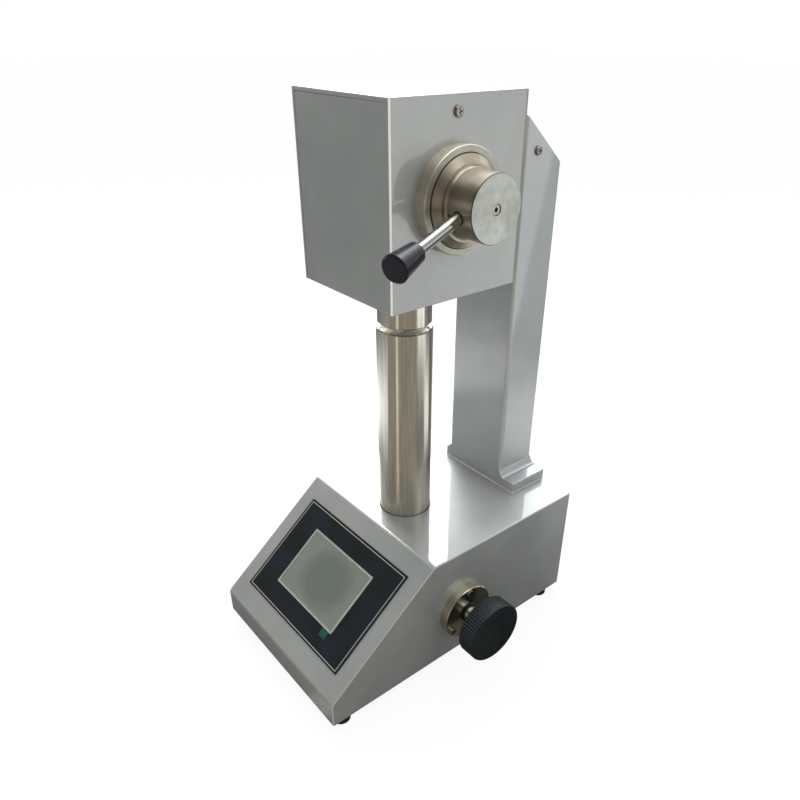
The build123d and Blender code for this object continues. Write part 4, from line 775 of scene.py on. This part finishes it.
# left and right hold the brightness of the floor in mirrors by distance from the object's axis, in metres;
# these tones are at half scale and toneScale doubles them
floorLook = {
    "half": 14.0, "paper": "#C6C6C4", "glow": 0.84, "glowStrength": 1.09, "toneScale": 2.0,
    "under": 0.3, "underSpan": (0.18, 0.36), "rightAt": 70.0, "rightHalf": 71.0,
    "left": ((0.14, 0.10), (0.28, 0.14), (0.42, 0.18), (0.49, 0.90), (0.62, 0.90), (0.68, 0.62), (0.73, 0.34),
             (0.83, 0.24), (0.86, 0.09), (1.0, 0.09)),
    "right": ((0.14, 0.05), (0.28, 0.07), (0.42, 0.08), (0.60, 0.08), (0.80, 0.14), (0.92, 0.55),
              (1.0, 0.90))}


def floorTone(tree, reach, compass):
    # what a mirror sees on the floor: tones by distance, others on the right than on the left
    look = floorLook
    sides = []
    for side in ("left", "right"):
        tones = look[side]
        steps = addNode(tree, "ShaderNodeValToRGB", {"Fac": reach})
        points = steps.color_ramp.elements
        points[0].position, points[1].position = tones[0][0], tones[-1][0]
        for place, tone in tones[1:-1]:
            points.new(place)
        for point, (place, tone) in zip(points, tones):
            point.color = (tone, tone, tone, 1.0)
        sides.append(steps.outputs["Color"])
    right = addNode(tree, "ShaderNodeMath", {0: awayFrom(tree, compass, look["rightAt"]),
                                            1: math.radians(look["rightHalf"])}, operation="LESS_THAN")
    chosen = addNode(tree, "ShaderNodeMix", {"Factor": right.outputs["Value"], "A": sides[0], "B": sides[1]},
                     data_type="RGBA")
    openTone = addNode(tree, "ShaderNodeMath", {0: chosen.outputs["Result"], 1: look["toneScale"]},
                       operation="MULTIPLY")
    tone, hue = roomTone(tree, compass, openTone.outputs["Value"])
    # the object's own shadow dims the floor near it
    near = addNode(tree, "ShaderNodeMapRange", {
        "Value": reach, "From Min": look["underSpan"][0], "From Max": look["underSpan"][1],
        "To Min": look["under"]})
    lit = addNode(tree, "ShaderNodeMath", {0: tone, 1: near.outputs["Result"]}, operation="MULTIPLY")
    return addNode(tree, "ShaderNodeEmission", {"Color": hue, "Strength": lit.outputs["Value"]})


def makeFloor():
    # white paper for the eye; in reflections it carries the tones of the room
    look = floorLook
    half, z = look["half"], cadBox[0][2]
    mesh = bpy.data.meshes.new("floor")
    corners = [(-half, -half, z), (half, -half, z), (half, half, z), (-half, half, z)]
    mesh.from_pydata(corners, [], [(0, 1, 2, 3)])
    floor = bpy.data.objects.new("floor", mesh)
    bpy.context.collection.objects.link(floor)
    paper = bpy.data.materials.new("whitePaperFloor")
    paper.use_nodes = True
    tree = paper.node_tree
    tree.nodes.clear()
    diffuse = addNode(tree, "ShaderNodeBsdfDiffuse", {"Color": linear(look["paper"])})
    glow = addNode(tree, "ShaderNodeEmission", {"Color": (1, 1, 1, 1), "Strength": look["glowStrength"]})
    path = addNode(tree, "ShaderNodeLightPath")
    share = addNode(tree, "ShaderNodeMath", {0: path.outputs["Is Camera Ray"], 1: look["glow"]},
                    operation="MULTIPLY")
    seen = addNode(tree, "ShaderNodeMixShader", {
        "Fac": share.outputs["Value"], 1: diffuse.outputs["BSDF"], 2: glow.outputs["Emission"]})
    coords = addNode(tree, "ShaderNodeTexCoord").outputs["Object"]
    reach = addNode(tree, "ShaderNodeVectorMath", {0: coords}, operation="LENGTH")
    mirrored = floorTone(tree, reach.outputs["Value"], compassNode(tree, coords))
    both = addNode(tree, "ShaderNodeMixShader", {
        "Fac": path.outputs["Is Glossy Ray"], 1: seen.outputs["Shader"], 2: mirrored.outputs["Emission"]})
    addNode(tree, "ShaderNodeOutputMaterial", {"Surface": both.outputs["Shader"]})
    mesh.materials.append(paper)


def skyTone(tree, way):
    # what a mirror sees above the floor: a bright window high behind, a dim wall high in front, a lit ceiling
    look = roomLook
    split = addNode(tree, "ShaderNodeSeparateXYZ", {"Vector": way})
    compass = compassNode(tree, way)
    tone, hue = roomTone(tree, compass, look["open"])
    spans = {}
    for name, axis in (("wall", "Y"), ("overhead", "Z"), ("high", "Z")):
        start, end = look[name + "Span"]
        spans[name] = addNode(tree, "ShaderNodeMapRange", {
            "Value": split.outputs[axis], "From Min": start, "From Max": end},
            interpolation_type="SMOOTHSTEP").outputs["Result"]
    pane = sector(tree, compass, "window")
    wall = addNode(tree, "ShaderNodeMix", {"Factor": spans["wall"], "A": look["inFront"],
                                          "B": look["behind"]})
    sides = addNode(tree, "ShaderNodeMix", {"Factor": pane, "A": wall.outputs["Result"], "B": look["window"]})
    above = addNode(tree, "ShaderNodeMix", {"Factor": spans["overhead"], "A": sides.outputs["Result"],
                                           "B": look["overhead"]})
    mirrored = addNode(tree, "ShaderNodeMix", {"Factor": spans["high"], "A": tone,
                                              "B": above.outputs["Result"]})
    sky = addNode(tree, "ShaderNodeMath", {0: pane, 1: spans["overhead"]}, operation="MAXIMUM")
    air = addNode(tree, "ShaderNodeMix", {"Factor": sky.outputs["Value"], "A": look["warm"],
                                         "B": look["cool"]}, data_type="RGBA")
    tinted = addNode(tree, "ShaderNodeMix", {"Factor": spans["high"], "A": hue, "B": air.outputs["Result"]},
                     data_type="RGBA")
    return mirrored.outputs["Result"], tinted.outputs["Result"]


def makeWorld():
    # white for the eye, a little dimmer as diffuse light, the room's tones in reflections
    world = bpy.data.worlds.new("studio")
    bpy.context.scene.world = world
    world.use_nodes = True
    tree = world.node_tree
    tree.nodes.clear()
    tone, hue = skyTone(tree, addNode(tree, "ShaderNodeTexCoord").outputs["Generated"])
    path = addNode(tree, "ShaderNodeLightPath")
    white = addNode(tree, "ShaderNodeMapRange", {"Value": path.outputs["Is Camera Ray"],
                                                "To Min": roomLook["diffuse"]})
    strength = addNode(tree, "ShaderNodeMix", {"Factor": path.outputs["Is Glossy Ray"],
                                              "A": white.outputs["Result"], "B": tone})
    colour = addNode(tree, "ShaderNodeMix", {"Factor": path.outputs["Is Glossy Ray"], "A": (1, 1, 1, 1),
                                            "B": hue}, data_type="RGBA")
    light = addNode(tree, "ShaderNodeBackground", {"Color": colour.outputs["Result"],
                                                 "Strength": strength.outputs["Result"]})
    addNode(tree, "ShaderNodeOutputWorld", {"Surface": light.outputs["Background"]})


# lamps: place and aim in metres, width, height, watts
lamps = {"topBox": ((-0.2, 0.2, 1.8), (0, 0, 0.3), 1.4, 1.4, 6.0),
         "windowBox": ((-0.7, 0.9, 1.5), (0, 0, 0.2), 1.4, 1.2, 12.0),
         "leftBox": ((-1.1, 0.5, 1.1), (0, 0.05, 0.15), 0.9, 0.9, 17.0),
         "rightBox": ((1.3, 0.7, 1.3), (0, 0, 0.45), 0.9, 0.9, 2.5)}


def softBox(name, place, aim, width, height, power):
    # a lamp that lights surfaces but leaves mirrors to the room
    lamp = bpy.data.lights.new(name, "AREA")
    lamp.shape = "RECTANGLE"
    lamp.size, lamp.size_y, lamp.energy = width, height, power
    lamp.specular_factor = 0.0
    box = bpy.data.objects.new(name, lamp)
    bpy.context.collection.objects.link(box)
    box.location = place
    box.rotation_euler = (Vector(aim) - Vector(place)).to_track_quat("-Z", "Y").to_euler()


makeFloor()
makeWorld()
for name, values in lamps.items():
    softBox(name, *values)

bpy.context.scene.view_settings.view_transform = "Standard"
print("done")
